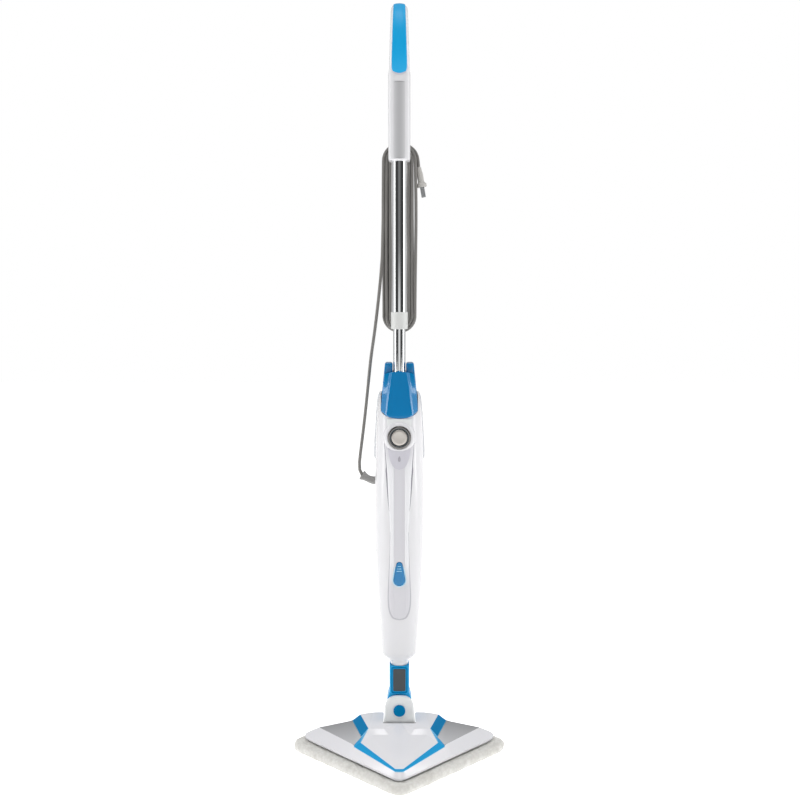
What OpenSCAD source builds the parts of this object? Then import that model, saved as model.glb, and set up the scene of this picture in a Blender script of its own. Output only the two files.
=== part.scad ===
// Steam mop, standing upright on its pad. Millimetres.
// +Z is up, -Y is the front (the head's point and the buttons), and the origin is on the
// floor under the pole's axis.

/* [Head] */
// Half of the pad's width
pad_half_w = 171; // [168:1:174]
// How far the pad's point lies in front of the pole's axis
pad_front = 152; // [150:1:154]
// How far the pad reaches behind the axis
pad_rear = 45; // [44:1:47]
// Thickness of the pad
pad_t = 15; // [15:1:16]
// Height of the skirt's lower edge
skirt_z = 18; // [18:0.5:19]

/* [Joint] */
// Height of the axle that the upright leans back on
pitch_z = 36; // [35.5:0.5:36]
// Height of the pin that the upright swivels on
swivel_z = 71; // [71:0.5:72]
// Radius of the pitch axle
axle_r = 4; // [3.5:0.1:4.2]
// Radius of the swivel pin
pin_r = 5; // [4.5:0.1:5.2]
// Radial running clearance of the pins
run_gap = 0.05; // [0.03:0.01:0.08]

/* [Body] */
// Wall of the moulded shells
wall = 2.4; // [2:0.1:2.6]
// Height of the power button's centre
power_z = 518; // [516:1:520]
// Radius of the power button
power_r = 12.75; // [12:0.25:13]
// Height of the widest place of the teardrop button
steam_z = 293.5; // [292:0.5:295]

/* [Water tank] */
// Height of the tank's underside
tank_z = 475; // [475:0.5:476]
// Height of the fill cap's axis
fill_z = 545; // [543:1:547]
// Radius of the fill cap
fill_r = 17; // [16:0.5:18]

/* [Tubes] */
// Radius of the lower tube
lower_tube_r = 9.525; // [9.4:0.025:9.6]
// Radius of the upper tube
upper_tube_r = 11.1; // [11:0.05:11.2]
// Wall of both tubes
tube_wall = 1.2; // [1:0.1:1.3]
// Lower and upper ends of the collar
collar_z = [681, 707];

/* [Handle] */
// Lower end of the handle
handle_z = 934; // [932:1:936]
// Width of the handle's straight part
handle_w = 33.2; // [32:0.2:34]
// Depth of the handle's straight part
handle_d = 34; // [33:0.5:34]
// Half height of the handle's loop
loop_b = 63; // [62:0.5:63]
// Half depth of the handle's loop
loop_a = 41; // [40:0.5:42]

/* [Cord] */
// Diameter of the cord
cord_d = 5; // [4.8:0.1:5]
// Heights of the hank's two ends, at the centres of their bends
hank_z = [698.5, 938];
// Inner and outer radius of the hank's bends
hank_r = [9.9, 25.6];
// Front and rear of the hank
hank_y = [18.2, 39];

/* [Hidden] */
$fn = 64;
eps = 0.02;
white = "#ececee";
blue = "#1593d0";
deep_blue = "#0b7fba";
silver = "#d0d0d5";
grey = "#8b8b8d";
dark = "#4e5256";
steel = "#c4c6c8";

// Body sections from the bottom up: height, half width, front depth, rear depth
body_bottom = [143, 17, 15, 15];
body_sections = [
  body_bottom,
  [157, 24.5, 19, 19],
  [187, 29.4, 25, 24],
  [237, 33, 31, 29],
  [300, 37, 37, 33],
  [370, 38.7, 41, 34],
  [433, 38.7, 43.5, 34],
  [474, 37.6, 45, 34],
  [520, 36.4, 45, 34],
  [546, 35, 42, 34],
  [570, 32.5, 36, 34],
  [586, 27, 28, 34]
];
rear_top = 474;
body_n = 2.5;
cap_split = 28.8;
cap_z = 548.5;
dock_top = 583.5;

// Blue cap on the body's top: height, half width, front depth, rear depth
cap_sections = [
  [549, 28.4, 41, 2],
  [562, 28.4, 39, 2],
  [584.5, 26.8, 32, 2],
  [586, 26.7, 31.4, 13],
  [608, 24.4, 23, 14],
  [622, 22.5, 15, 15]
];

// Tank sections: height, half width, rear depth
tank_sections = [
  [tank_z, 38.5, 42],
  [tank_z + 6, 40, 46],
  [491, 40, 47.5],
  [520, 38.4, 48.5],
  [557, 36, 46.5],
  [574, 34.2, 41],
  [582, 31.5, 34]
];
tank_y = 6.5;
tank_wall = 2.2;
fill_y = 55;
valve_z = 488;

// Free stretch of the cord, from the strain relief up to the hank
cord_route = [
  [-58, 12, 446], [-61.5, 12, 452], [-63.3, 12.5, 459], [-63.5, 13, 467], [-62, 14, 482],
  [-59.5, 16, 502], [-55, 19, 539], [-50, 21, 586], [-45, 22, 633], [-39, 22, 675],
  [-33, 21.3, 724], [-29, 20.8, 762], [-27, 20.8, 786]
];
// Last stretch of the cord, from the hank's top down into the plug
tail_route = [
  [-12, 36.2, 960], [-5, 35.8, 963.5], [3, 35, 965], [11, 33.7, 963.5], [18.5, 32, 959],
  [24.5, 30, 952.5], [28, 28.3, 944], [29.3, 27, 935], [29.8, 26.4, 929]
];
plug_top = [29.8, 26.4, 929];
plug_tilt = 10;

// Lower edge of the skirt, right half, from the notch round to the front tip: X, Y
skirt_foot = [
  [27, 34.3], [42, 32.2], [66, 28.9], [80, 27], [131, 20], [148, 14], [155, 3], [152, -8],
  [145, -15], [81, -70], [75, -75.2], [10, -131], [5, -134.6], [0, -136]
];
// Upper edge of the skirt, point for point above the lower one
skirt_head = [
  [27, 14, 51], [42, 14, 51], [64.5, 15, 47], [77.5, 17.5, 35], [129.5, 12.6, 26], [131, 12.2, 26],
  [131.6, 11.2, 26], [131, 10.2, 26], [129.8, 9.6, 26], [71, -57, 31.5], [71.5, -62, 30.5],
  [6.3, -128, 26], [3, -128.6, 26], [0, -128.8, 26]
];
// Corners of the panels inside the skirt: windows, side trims, front strip and cover
window_low = [71, -57, 31.5];
window_inner = [60, -44, 38];
trim_low = [49, -40, 50];
trim_outer = [77.5, 17.5, 35];
trim_inner = [64.5, 15, 47];
strip_corner = [71.5, -62, 30.5];
cover_corner = [60.5, -60, 37];
cover_front = [6, -124, 29];
cover_tip = [0, -124.3, 29];
notch_half_w = 27;
notch_front = -24;
cover_top_z = 51;
top_t = 2.2;
skirt_t = 3;

// ---- shape helpers -------------------------------------------------------------------

// Point of a rounded-square outline: half width w, front or rear depth d, angle a measured
// clockwise from +X seen from above, exponent n
function oval(w, d, a, n) = [
  w * sign(cos(a)) * pow(abs(cos(a)), 2 / n),
  -d * sign(sin(a)) * pow(abs(sin(a)), 2 / n)
];

// Arc of an outline at height z, from angle a0 to a1 in steps
function arc_ring(w, front, rear, z, a0, a1, steps, n) = [
  for (i = [0:steps])
    let (a = a0 + (a1 - a0) * i / steps, p = oval(w, a <= 180 ? front : rear, a, n))
      [p[0], p[1], z]
];

// Points of an arc about c, radius r, from angle a0 to a1
function arc(c, r, a0, a1, steps) = [
  for (i = [0:steps]) let (a = a0 + (a1 - a0) * i / steps) [c[0] + r * cos(a), c[1] + r * sin(a)]
];

// Teardrop outline: large circle r1 at height z1, small circle r2 at height z2
function drop(r1, z1, r2, z2) = let (lean = asin((r1 - r2) / (z2 - z1)))
  concat(arc([0, z1], r1, 180 - lean, 360 + lean, 24), arc([0, z2], r2, lean, 180 - lean, 16));

// Faces between two rings of a stack of m points each; open stacks don't close on themselves
function skin_faces(rings, m, first, closed, flip) = [
  for (i = [0:rings - 2])
    for (j = [0:m - (closed ? 1 : 2)])
      let (k = (j + 1) % m, a = first + i * m, b = a + m)
        flip ? [a + j, b + j, b + k, a + k] : [a + j, a + k, b + k, b + j]
];

// Solid between a stack of outer arcs and a stack of inner arcs, open at its two edges
module half_shell(outer, inner) {
  m = len(outer[0]);
  n = len(outer);
  in0 = n * m;
  top = (n - 1) * m;
  faces = concat(
    skin_faces(n, m, 0, false, false),
    skin_faces(n, m, in0, false, true),
    [for (j = [0:m - 2]) [j, in0 + j, in0 + j + 1, j + 1]],
    [for (j = [0:m - 2]) [top + j, top + j + 1, in0 + top + j + 1, in0 + top + j]],
    [for (i = [0:n - 2]) [i * m, (i + 1) * m, in0 + (i + 1) * m, in0 + i * m]],
    [for (i = [0:n - 2]) let (e = m - 1)
      [i * m + e, in0 + i * m + e, in0 + (i + 1) * m + e, (i + 1) * m + e]]
  );
  polyhedron([for (r = outer) for (p = r) p, for (r = inner) for (p = r) p], faces);
}

// Solid through a stack of closed rings, capped at both ends
module loft(rings) {
  m = len(rings[0]);
  n = len(rings);
  faces = concat(
    skin_faces(n, m, 0, true, false),
    [[for (j = [m - 1:-1:0]) j]],
    [[for (j = [0:m - 1]) (n - 1) * m + j]]
  );
  polyhedron([for (r = rings) for (p = r) p], faces);
}

// Plate under a surface of flat faces: its points, its faces seen from above clockwise, its
// edge clockwise seen from above, and its vertical thickness
module plate(points, faces, edge, t) {
  n = len(points);
  m = len(edge);
  lower = [for (p = points) p - [0, 0, t]];
  sides = [for (j = [0:m - 1]) let (k = (j + 1) % m) [edge[j], edge[j] + n, edge[k] + n, edge[k]]];
  under = [for (f = faces) [for (i = [len(f) - 1:-1:0]) f[i] + n]];
  polyhedron(concat(points, lower), concat(faces, under, sides));
}

// Unit vector
function unit(v) = v / norm(v);

// Tube of radius r swept along a route, square to the route at every point
module swept(route, r, sides) {
  n = len(route);
  rings = [
    for (i = [0:n - 1])
      let (
        t = unit(route[min(i + 1, n - 1)] - route[max(i - 1, 0)]),
        u = unit(cross(t, [0.05, 1, 0.03])),
        v = cross(u, t)
      )
        [for (j = [0:sides - 1]) route[i] + r * (cos(360 * j / sides) * u + sin(360 * j / sides) * v)]
  ];
  loft(rings);
}

// Compression spring along Y: centre line start, length, coil radius, wire radius, turns
module spring(start, length, coil_r, wire_r, turns) {
  steps = turns * 12;
  route = [
    for (i = [0:steps])
      start + [coil_r * cos(30 * i), wire_r + (length - 2 * wire_r) * i / steps, coil_r * sin(30 * i)]
  ];
  swept(route, wire_r, 6);
}

// Cylinder along +Y from y0 to y1
module rod_y(r, x, z, y0, y1) {
  translate([x, y0, z]) rotate([-90, 0, 0]) cylinder(r = r, h = y1 - y0);
}

// Cylinder along +X from x0 to x1
module rod_x(r, y, z, x0, x1) {
  translate([x0, y, z]) rotate([0, 90, 0]) cylinder(r = r, h = x1 - x0);
}

// Tube along +Z
module pipe_z(r, t, z0, z1) {
  translate([0, 0, z0]) difference() {
    cylinder(r = r, h = z1 - z0);
    translate([0, 0, -1]) cylinder(r = r - t, h = z1 - z0 + 2);
  }
}

// Upright bar of rounded-square section: half width w, half depth d, exponent n
module oval_bar(w, d, n, z0, z1) {
  translate([0, 0, z0]) linear_extrude(height = z1 - z0)
    polygon([for (i = [0:47]) let (p = oval(w, d, i * 7.5, n)) [p[0], -p[1]]]);
}

// Box from its lowest to its highest corner
module box(a, b) {
  translate(a) cube(b - a);
}

// Outline in X and Z made solid from y0 to y1
module front_cut(y0, y1) {
  translate([0, y1, 0]) rotate([90, 0, 0]) linear_extrude(height = y1 - y0) children();
}

// Outline in Y and Z made solid across X, w wide
module side_cut(w) {
  translate([-w / 2, 0, 0]) rotate([90, 0, 90]) linear_extrude(height = w) children();
}

// ---- head ------------------------------------------------------------------------------

// Outline of the pad, right half from front to rear, then mirrored
pad_corner = [pad_half_w - 20, -10];
pad_right = concat(
  arc([0, -(pad_front - 25)], 25, -90, -50, 6),
  arc(pad_corner, 20, -48, 70, 12),
  [[118, 24], [60, pad_rear - 8]],
  [[0, pad_rear]]
);
function mirrored(half) = concat(
  half,
  [for (i = [len(half) - 2:-1:1]) [-half[i][0], half[i][1]]]
);
pad_outline = mirrored(pad_right);

// Outline of the deck and the steam plate
deck_right = [
  [0, -122], [10, -118], [130, -14], [140, -4], [140, 3], [132, 9], [118, 12], [27, 30], [0, 31]
];
deck_outline = mirrored(deck_right);
deck_t = 2.5;
plate_t = 3;
pocket_z = 11;
inlet_y = -36;
inlet_r = 2.5;
screw_spots = [[62, -18], [-62, -18], [104, 0], [-104, 0], [30, -92], [-30, -92]];

module mop_pad() {
  color("#e8e8e4") difference() {
    linear_extrude(height = pad_t) polygon(pad_outline);
    translate([0, 0, pocket_z]) linear_extrude(height = pad_t) offset_deck(0.3);
  }
}

// The deck's outline grown by g on every side, as a scaled copy
module offset_deck(g) {
  grow = 1 + g / 80;
  polygon([for (p = deck_outline) [p[0] * grow, (p[1] + 30) * grow - 30]]);
}

module grip_strips() {
  color("#3a3c3e") for (x = [-95, -45, 45, 95])
    box([x - 12, -24, pocket_z + eps], [x + 12, 0, pad_t - plate_t]);
}

module steam_plate() {
  color(steel) translate([0, 0, pad_t - plate_t]) difference() {
    linear_extrude(height = plate_t) polygon(deck_outline);
    for (x = [-60:20:60]) translate([x, -42, -1]) cylinder(r = 1.5, h = plate_t + 2);
    for (s = screw_spots) translate([s[0], s[1], -1]) cylinder(r = 1.5, h = plate_t + 2);
    translate([0, inlet_y, -1]) cylinder(r = inlet_r, h = plate_t + 2);
  }
}

module head_base() {
  tower = [28, 36.5];
  color(white) difference() {
    union() {
      translate([0, 0, pad_t]) linear_extrude(height = deck_t) polygon(deck_outline);
      for (s = [-1, 1]) {
        x0 = s > 0 ? tower[0] : -tower[1];
        x1 = s > 0 ? tower[1] : -tower[0];
        box([x0, -9, pad_t + deck_t - 1], [x1, 9, pitch_z]);
        rod_x(9, 0, pitch_z, x0, x1);
      }
    }
    rod_x(axle_r + run_gap, 0, pitch_z, -40, 40);
    for (s = screw_spots) translate([s[0], s[1], pad_t - 1]) cylinder(r = 1.5, h = 10);
    translate([0, inlet_y, pad_t - 1]) cylinder(r = inlet_r, h = 10);
  }
}

// Right half of the band round the head, from the notch to the front tip
module skirt_half() {
  n = len(skirt_foot);
  points = concat([for (p = skirt_foot) [p[0], p[1], skirt_z]], skirt_head);
  faces = [for (i = [0:n - 2]) each [[i + 1, i, n + i], [i + 1, n + i, n + i + 1]]];
  edge = concat([for (i = [n - 1:-1:0]) i], [for (i = [0:n - 1]) n + i]);
  plate(points, faces, edge, skirt_t);
}

module head_skirt() {
  color(white) {
    skirt_half();
    mirror([1, 0, 0]) skirt_half();
  }
}

module cover_half() {
  points = [
    trim_inner, [42, 14, cover_top_z], [notch_half_w, 14, cover_top_z],
    [notch_half_w, notch_front, cover_top_z], trim_low, cover_corner, cover_front, cover_tip,
    [0, notch_front, cover_top_z]
  ];
  faces = [[0, 4, 1], [1, 3, 2], [1, 4, 3], [4, 5, 3], [3, 5, 6], [3, 6, 7], [3, 7, 8]];
  plate(points, faces, [0, 4, 5, 6, 7, 8, 3, 2, 1], top_t);
}

module head_cover() {
  color(white) {
    cover_half();
    mirror([1, 0, 0]) cover_half();
  }
}

module strip_half() {
  points = [
    strip_corner, window_low, window_inner, trim_low, cover_corner, cover_front, cover_tip,
    skirt_head[13], skirt_head[12], skirt_head[11]
  ];
  faces = [[0, 4, 1], [1, 4, 2], [2, 4, 3], [0, 9, 5], [0, 5, 4], [9, 8, 5], [8, 7, 6], [8, 6, 5]];
  plate(points, faces, [0, 9, 8, 7, 6, 5, 4, 3, 2, 1], top_t);
}

module front_trim() {
  color(blue) {
    strip_half();
    mirror([1, 0, 0]) strip_half();
  }
}

module side_trim() {
  plate([trim_low, window_inner, trim_outer, trim_inner], [[0, 3, 2], [0, 2, 1]], [0, 3, 2, 1], top_t);
}

module trim_right() {
  color(deep_blue) side_trim();
}

module trim_left() {
  color(deep_blue) mirror([1, 0, 0]) side_trim();
}

module wing_window() {
  points = concat([for (i = [9:-1:4]) skirt_head[i]], [trim_outer, window_inner]);
  faces = [for (i = [0:5]) [7, i + 1, i]];
  plate(points, faces, [7, 6, 5, 4, 3, 2, 1, 0], top_t);
}

module window_right() {
  color(grey) wing_window();
}

module window_left() {
  color(grey) mirror([1, 0, 0]) wing_window();
}

module steam_elbow() {
  z0 = pad_t + deck_t;
  color("#b8b9bb") difference() {
    union() {
      translate([0, inlet_y, z0]) cylinder(r = 5, h = 13);
      rod_y(4, 0, z0 + 8.5, inlet_y, -17);
    }
    translate([0, inlet_y, z0 - 1]) cylinder(r = inlet_r, h = 10);
    rod_y(inlet_r, 0, z0 + 8.5, inlet_y - 1, -16);
  }
}

module head_screws() {
  color(steel) for (s = screw_spots) translate([s[0], s[1], pad_t - plate_t + eps]) {
    cylinder(r = 1.45, h = plate_t + deck_t);
    translate([0, 0, plate_t + deck_t]) cylinder(r = 3.2, h = 1.8);
  }
}

module pitch_axle() {
  color(steel) rod_x(axle_r, 0, pitch_z, -37.5, 37.5);
}

// ---- yoke ------------------------------------------------------------------------------

cheek_y = [14, 22];
yoke_r = 25;
barrel_r = 11;
tongue_r = 20;

module yoke() {
  top_z = swivel_z + yoke_r;
  side = [
    [-cheek_y[1], top_z], [-cheek_y[1], 45], [-19, 44], [-barrel_r, 41], [barrel_r, 41], [cheek_y[1], 52],
    [cheek_y[1], top_z], [cheek_y[0], top_z], [cheek_y[0], 50], [-cheek_y[0], 50], [-cheek_y[0], top_z]
  ];
  color("#d7dbda") difference() {
    union() {
      intersection() {
        side_cut(2 * yoke_r) polygon(side);
        front_cut(-30, 30) union() {
          translate([0, swivel_z]) circle(r = yoke_r);
          translate([-yoke_r, 20]) square([2 * yoke_r, swivel_z - 20]);
        }
      }
      rod_x(barrel_r, 0, pitch_z, -yoke_r, yoke_r);
    }
    rod_x(axle_r + run_gap, 0, pitch_z, -40, 40);
    rod_y(pin_r + run_gap, 0, swivel_z, -40, 40);
  }
}

module swivel_pin() {
  color(steel) {
    rod_y(pin_r, 0, swivel_z, -22.5, 24);
    rod_y(8, 0, swivel_z, cheek_y[1] + eps, 25);
  }
}

module pin_cap() {
  color(blue) difference() {
    translate([0, -cheek_y[1] - eps, swivel_z]) rotate([90, 0, 0]) union() {
      cylinder(r = 9.5, h = 2.2);
      translate([0, 0, 2.2]) cylinder(r1 = 9.5, r2 = 8, h = 1);
    }
    rod_y(pin_r + run_gap, 0, swivel_z, -22.8, -20);
  }
}

// ---- neck ------------------------------------------------------------------------------

neck_w = 31.6;
tongue_y = 13.6;
neck_y = 16;
neck_low = 98;
window_y = -16.8;
release_z = [100, 139];
release_w = 21.6;
spring_z = 112;
pipe_y = 7;

module neck() {
  color(blue) difference() {
    union() {
      rod_y(tongue_r, 0, swivel_z, -tongue_y, tongue_y);
      box([-neck_w / 2, -tongue_y, swivel_z], [neck_w / 2, tongue_y, neck_low + 1]);
      oval_bar(neck_w / 2, neck_y, 5, neck_low, body_bottom[0] - 0.3);
      oval_bar(14.3, 12.3, body_n, 130, 166);
    }
    rod_y(pin_r + run_gap, 0, swivel_z, -20, 20);
    box([-release_w / 2 - 0.2, -20, release_z[0] - 0.2], [release_w / 2 + 0.2, -6.5, release_z[1] + 0.2]);
    rod_y(3.4, 0, spring_z, -7, -1);
    translate([0, pipe_y, 92]) cylinder(r = 3.1, h = 80);
  }
}

module release_button() {
  color(dark) difference() {
    box([-release_w / 2, window_y, release_z[0]], [release_w / 2, -10, release_z[1]]);
    rod_y(3.4, 0, spring_z, -11.5, -9);
  }
}

module release_spring() {
  color(steel) spring([0, -11.4, spring_z], 10.3, 2.6, 0.4, 5);
}

module steam_pipe() {
  color(steel) translate([0, pipe_y, 93]) difference() {
    cylinder(r = 3, h = 121.8);
    translate([0, 0, -1]) cylinder(r = 2.2, h = 125);
  }
}

// ---- body ------------------------------------------------------------------------------

shell_steps = 22;
body_screw_x = [-16, 16];
body_screw_z = [205, 440];
relief_z = 440;
bezel_r = 17.6;
front_y = 48;
steam_drop = drop(9, steam_z, 3.6, 318.4);
steam_hole = drop(9.3, steam_z, 3.9, 318.4);

// Outline of the inlay panel, grown by g: half width at each height
inlay_half = [
  [0, 226], [9, 229], [14.5, 240], [16.5, 263], [15.3, 305], [14, 372], [17, 424], [18.3, 456], [22, 503]
];
function inlay_grown(g) = [
  for (p = inlay_half) [p[0] + (p[0] > 0 ? g : 0), p[1] - (p[1] < 250 ? g : 0)]
];
function inlay_outline(g) = let (half = inlay_grown(g))
  concat(half, [for (i = [len(half) - 1:-1:1]) [-half[i][0], half[i][1]]]);

// Front arcs of the body, drawn in by t
function front_rings(t, from, to) = [
  for (s = body_sections)
    if (s[0] >= from && s[0] <= to) arc_ring(s[1] - t, s[2] - t, s[3], s[0], 0, 180, shell_steps, body_n)
];
function rear_rings(t, to) = [
  for (s = body_sections)
    if (s[0] <= to) arc_ring(s[1] - t, s[2], s[3] - t, s[0], 180, 360, shell_steps, body_n)
];

module body_front_shell() {
  color(white) difference() {
    half_shell(front_rings(0, 0, 600), front_rings(wall, 0, 600));
    rod_y(bezel_r + 0.3, 0, power_z, -60, -20);
    box([-cap_split, -60, cap_z], [cap_split, 5, 600]);
    front_cut(-60, -15) polygon(inlay_outline(0.2));
  }
}

module body_rear_shell() {
  color(white) difference() {
    half_shell(rear_rings(0, rear_top), rear_rings(wall, rear_top));
    for (z = body_screw_z) for (x = body_screw_x) rod_y(4, x, z, 10, 50);
    rod_x(4.2, cord_route[0][1], relief_z, -50, -20);
  }
}

module body_screws() {
  color(steel) for (z = body_screw_z) for (x = body_screw_x) {
    y1 = z < 300 ? 21 : 28;
    rod_y(3.7, x, z, y1 - 3, y1);
    rod_y(1.8, x, z, y1 - 16, y1 - 3 + eps);
  }
}

module inlay_panel() {
  color(silver) difference() {
    intersection() {
      half_shell(front_rings(0.5, 180, 530), front_rings(wall + 0.3, 180, 530));
      front_cut(-60, -15) polygon(inlay_outline(0));
    }
    rod_y(bezel_r + 0.3, 0, power_z, -60, -20);
    front_cut(-60, -15) polygon(steam_hole);
    rod_y(3.1, 0, 485, -60, -30);
  }
}

module indicator_lens() {
  color("#e8f4ff") rod_y(3, 0, 485, -44.6, -41.5);
}

module button_bezel() {
  color(dark) translate([0, -30, power_z]) rotate([90, 0, 0]) rotate_extrude() polygon([
    [3.4, 2], [bezel_r - 1.2, 2], [bezel_r - 1.2, 9], [bezel_r, 9], [bezel_r, front_y - 30.8],
    [bezel_r - 0.8, front_y - 30], [power_r + 1.2, front_y - 30], [power_r + 0.35, front_y - 31.2],
    [power_r + 0.35, 3.4], [3.4, 3.4]
  ]);
}

module power_button() {
  color("#b5b1ae") translate([0, -30, power_z]) rotate([90, 0, 0]) rotate_extrude() polygon([
    [0, 0.8], [2.9, 0.8], [2.9, 9], [power_r, 9], [power_r, 16.6], [power_r - 0.8, 17.4], [0, 17.4]
  ]);
}

module power_spring() {
  color(steel) spring([0, -38.95, power_z], 5.5, 4.2, 0.45, 3);
}

module power_switch() {
  color("#2f3133") box([-9, -26.5, power_z - 10], [9, -12, power_z + 10]);
}

module steam_button() {
  color("#087dbf") front_cut(-39.2, -33.5) polygon(steam_drop);
}

module steam_spring() {
  color(steel) spring([0, -33.4, steam_z + 8], 6.2, 2.6, 0.4, 4);
}

module steam_switch() {
  color("#2f3133") box([-6, -27, steam_z], [6, -18.5, steam_z + 16]);
}

module boiler() {
  color("#a9abad") translate([0, 3, 215]) rotate_extrude() polygon([
    [0, 0], [12, 0], [19, 8], [19, 102], [12, 110], [0, 110]
  ]);
}

module pump_pipe() {
  color("#d8d8d2") translate([0, 3, 325.1]) difference() {
    cylinder(r = 3.2, h = 24.8);
    translate([0, 0, -1]) cylinder(r = 2, h = 30);
  }
}

module pump() {
  color("#3c3f42") {
    box([-16, -11, 350], [16, 17, 392]);
    translate([0, 3, 391]) cylinder(r = 6, h = 8);
  }
}

module control_board() {
  color("#2f6b3d") box([-22, -30, 405], [22, -28.4, 465]);
}

module water_hose() {
  color("#dfe3e2") swept([
    [0, -6.1, valve_z], [0, -12, valve_z], [0, -18, 485], [0, -19.5, 480], [0, -19.5, 470], [0, -17, 455],
    [0, -10, 440], [0, -3, 430], [0, 1.5, 420], [0, 3, 410], [0, 3, 399.2]
  ], 3, 10);
}

// ---- water tank ------------------------------------------------------------------------

// D-shaped ring of the tank, drawn in by t, its flat front at y
function tank_ring(s, t, y, z) = [
  for (i = [0:20])
    let (p = oval(s[1] - t, s[2] - t - (y - tank_y), 180 + i * 9, 2.6))
      [p[0], y + p[1], z]
];

module tank_dock() {
  side = [for (s = body_sections) if (s[0] >= rear_top) [s[1] - 0.3, min(s[0], dock_top)]];
  color(white) difference() {
    union() {
      front_cut(0.1, 5.9) polygon(concat(side, [for (i = [len(side) - 1:-1:0]) [-side[i][0], side[i][1]]]));
      dock_floor();
      rod_y(8, 0, valve_z, -6, 3);
    }
    rod_y(5.1, 0, valve_z, -5, 10);
    rod_y(2.5, 0, valve_z, -10, 10);
    box([-cap_split, -1, cap_z], [cap_split, 2.4, 600]);
  }
}

// Floor of the tank's bay, closing the rear shell's top
module dock_floor() {
  ring = arc_ring(body_sections[7][1] - wall - 0.4, 1, 34 - wall - 0.4, 0, 180, 360, shell_steps, body_n);
  translate([0, 0, rear_top - 2.6]) linear_extrude(height = 3)
    polygon(concat([for (p = ring) [p[0], p[1]]], [[34, -3], [-34, -3]]));
}

module tank_shell() {
  n = len(tank_sections) - 1;
  inner = [for (i = [0:n]) let (s = tank_sections[i])
    tank_ring(s, tank_wall, tank_y + 1.9, i == 0 ? s[0] + tank_wall : i == n ? s[0] - tank_wall : s[0])];
  color("#eef1f3") difference() {
    union() {
      difference() {
        loft([for (s = tank_sections) tank_ring(s, 0, tank_y + 2, s[0])]);
        loft(inner);
      }
      rod_y(fill_r + 1, 0, fill_z, 49, fill_y);
    }
    rod_y(13.2, 0, fill_z, 40, 70);
  }
}

module tank_front() {
  color("#eef1f3") difference() {
    front_cut(tank_y, tank_y + 2) polygon([
      [-36, tank_z], [36, tank_z], [37.5, 491], [35, 557], [30, 581], [-30, 581], [-35, 557], [-37.5, 491]
    ]);
    rod_y(2.5, 0, valve_z, 0, 20);
  }
}

module tank_valve() {
  color(dark) difference() {
    rod_y(5, 0, valve_z, -4.8, tank_y);
    rod_y(2.5, 0, valve_z, -6, 10);
  }
}

module tank_cap() {
  color(blue) translate([0, fill_y + 5.2, fill_z]) rotate([90, 0, 0]) union() {
    rotate_extrude() polygon([
      [0, 0.6], [fill_r - 1.2, 0], [fill_r, 1.2], [fill_r, 5], [16.3, 5], [16.3, 3.9], [13, 3.9],
      [13, 13], [10, 13], [10, 3.9], [0, 3.9]
    ]);
    translate([-13, -3, -3]) cube([26, 6, 4]);
  }
}

module tank_seal() {
  color("#333333") translate([0, fill_y + 1, fill_z]) rotate([90, 0, 0]) difference() {
    cylinder(r = 16, h = 1);
    translate([0, 0, -1]) cylinder(r = 13.3, h = 4);
  }
}

// ---- top cap, tubes, collar ---------------------------------------------------------------

function cap_ring(s, t, z, slope) = [
  for (i = [0:35])
    let (a = i * 10, p = oval(s[1] - t, (a <= 180 ? s[2] : s[3]) - t, a, 2.6))
      [p[0], p[1], z + slope * p[1]]
];

module top_cap() {
  n = len(cap_sections) - 1;
  rise = 0.45;
  color(deep_blue) difference() {
    loft([for (i = [0:n]) cap_ring(cap_sections[i], 0, cap_sections[i][0], i == n ? rise : 0)]);
    loft([
      for (i = [0:n - 1])
        let (s = cap_sections[i]) cap_ring(s, min(2, s[3] - 0.5), i == 0 ? s[0] - 1 : s[0] - 3, 0)
    ]);
    translate([0, 0, 560]) cylinder(r = lower_tube_r + 0.03, h = 90);
  }
}

module lower_tube() {
  color(steel) pipe_z(lower_tube_r, tube_wall, 586.5, 725);
}

module upper_tube() {
  color(steel) pipe_z(upper_tube_r, tube_wall, 690, 1000);
}

// Hook post and its tab; the tab points along dir (1 up, -1 down)
module hook_post(z, y0, dir) {
  tab = 36;
  rod_y(9.3, 0, z, y0, hank_y[1] + 0.6);
  rod_y(9.3, 0, z, hank_y[1] + 0.5, hank_y[1] + 4);
  box([-7, hank_y[1] + 0.5, dir > 0 ? z : z - tab], [7, hank_y[1] + 4, dir > 0 ? z + tab : z]);
}

module collar() {
  c = (collar_z[0] + collar_z[1]) / 2;
  color("#cfd0cd") difference() {
    union() {
      translate([0, 0, collar_z[0]]) cylinder(r = 13, h = collar_z[1] - collar_z[0]);
      hook_post(hank_z[0], 8, -1);
    }
    translate([0, 0, collar_z[0] - 1]) cylinder(r = lower_tube_r + 0.03, h = 40);
    translate([0, 0, 690]) cylinder(r = upper_tube_r + 0.03, h = 40);
  }
}

// ---- handle ----------------------------------------------------------------------------

handle_top = 1165;
loop_c = [17, handle_top - loop_b];
loop_t = 20;
seam_y = 8;
grip_t = 3;
tube_top = 1003;
handle_screw_z = [1016, 1038];

// Outline of the loop, drawn in by t
module loop_outline(t) {
  polygon([
    for (i = [0:59])
      let (p = oval(loop_a - t, loop_b - t, i * 6, 2.3)) [loop_c[0] + p[0], loop_c[1] + p[1]]
  ]);
}

// Side outline of the whole handle, its walls drawn in by t
module handle_outline(t) {
  difference() {
    union() {
      translate([-handle_d / 2 + t, handle_z + (t > 0 ? tube_top - handle_z : 0)])
        square([handle_d - 2 * t, 1080 - handle_z - (t > 0 ? tube_top - handle_z : 0)]);
      loop_outline(t > 0 ? t + grip_t : 0);
    }
    loop_outline(loop_t - t);
  }
}

// Front outline of the handle, drawn in by t
module handle_front_outline(t) {
  polygon([
    [-handle_w / 2 + t, handle_z - 1], [handle_w / 2 - t, handle_z - 1], [handle_w / 2 - t, 1060],
    [15.4 - t, 1068], [12.3 - t, 1166], [-12.3 + t, 1166], [-15.4 + t, 1068], [-handle_w / 2 + t, 1060]
  ]);
}

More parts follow.
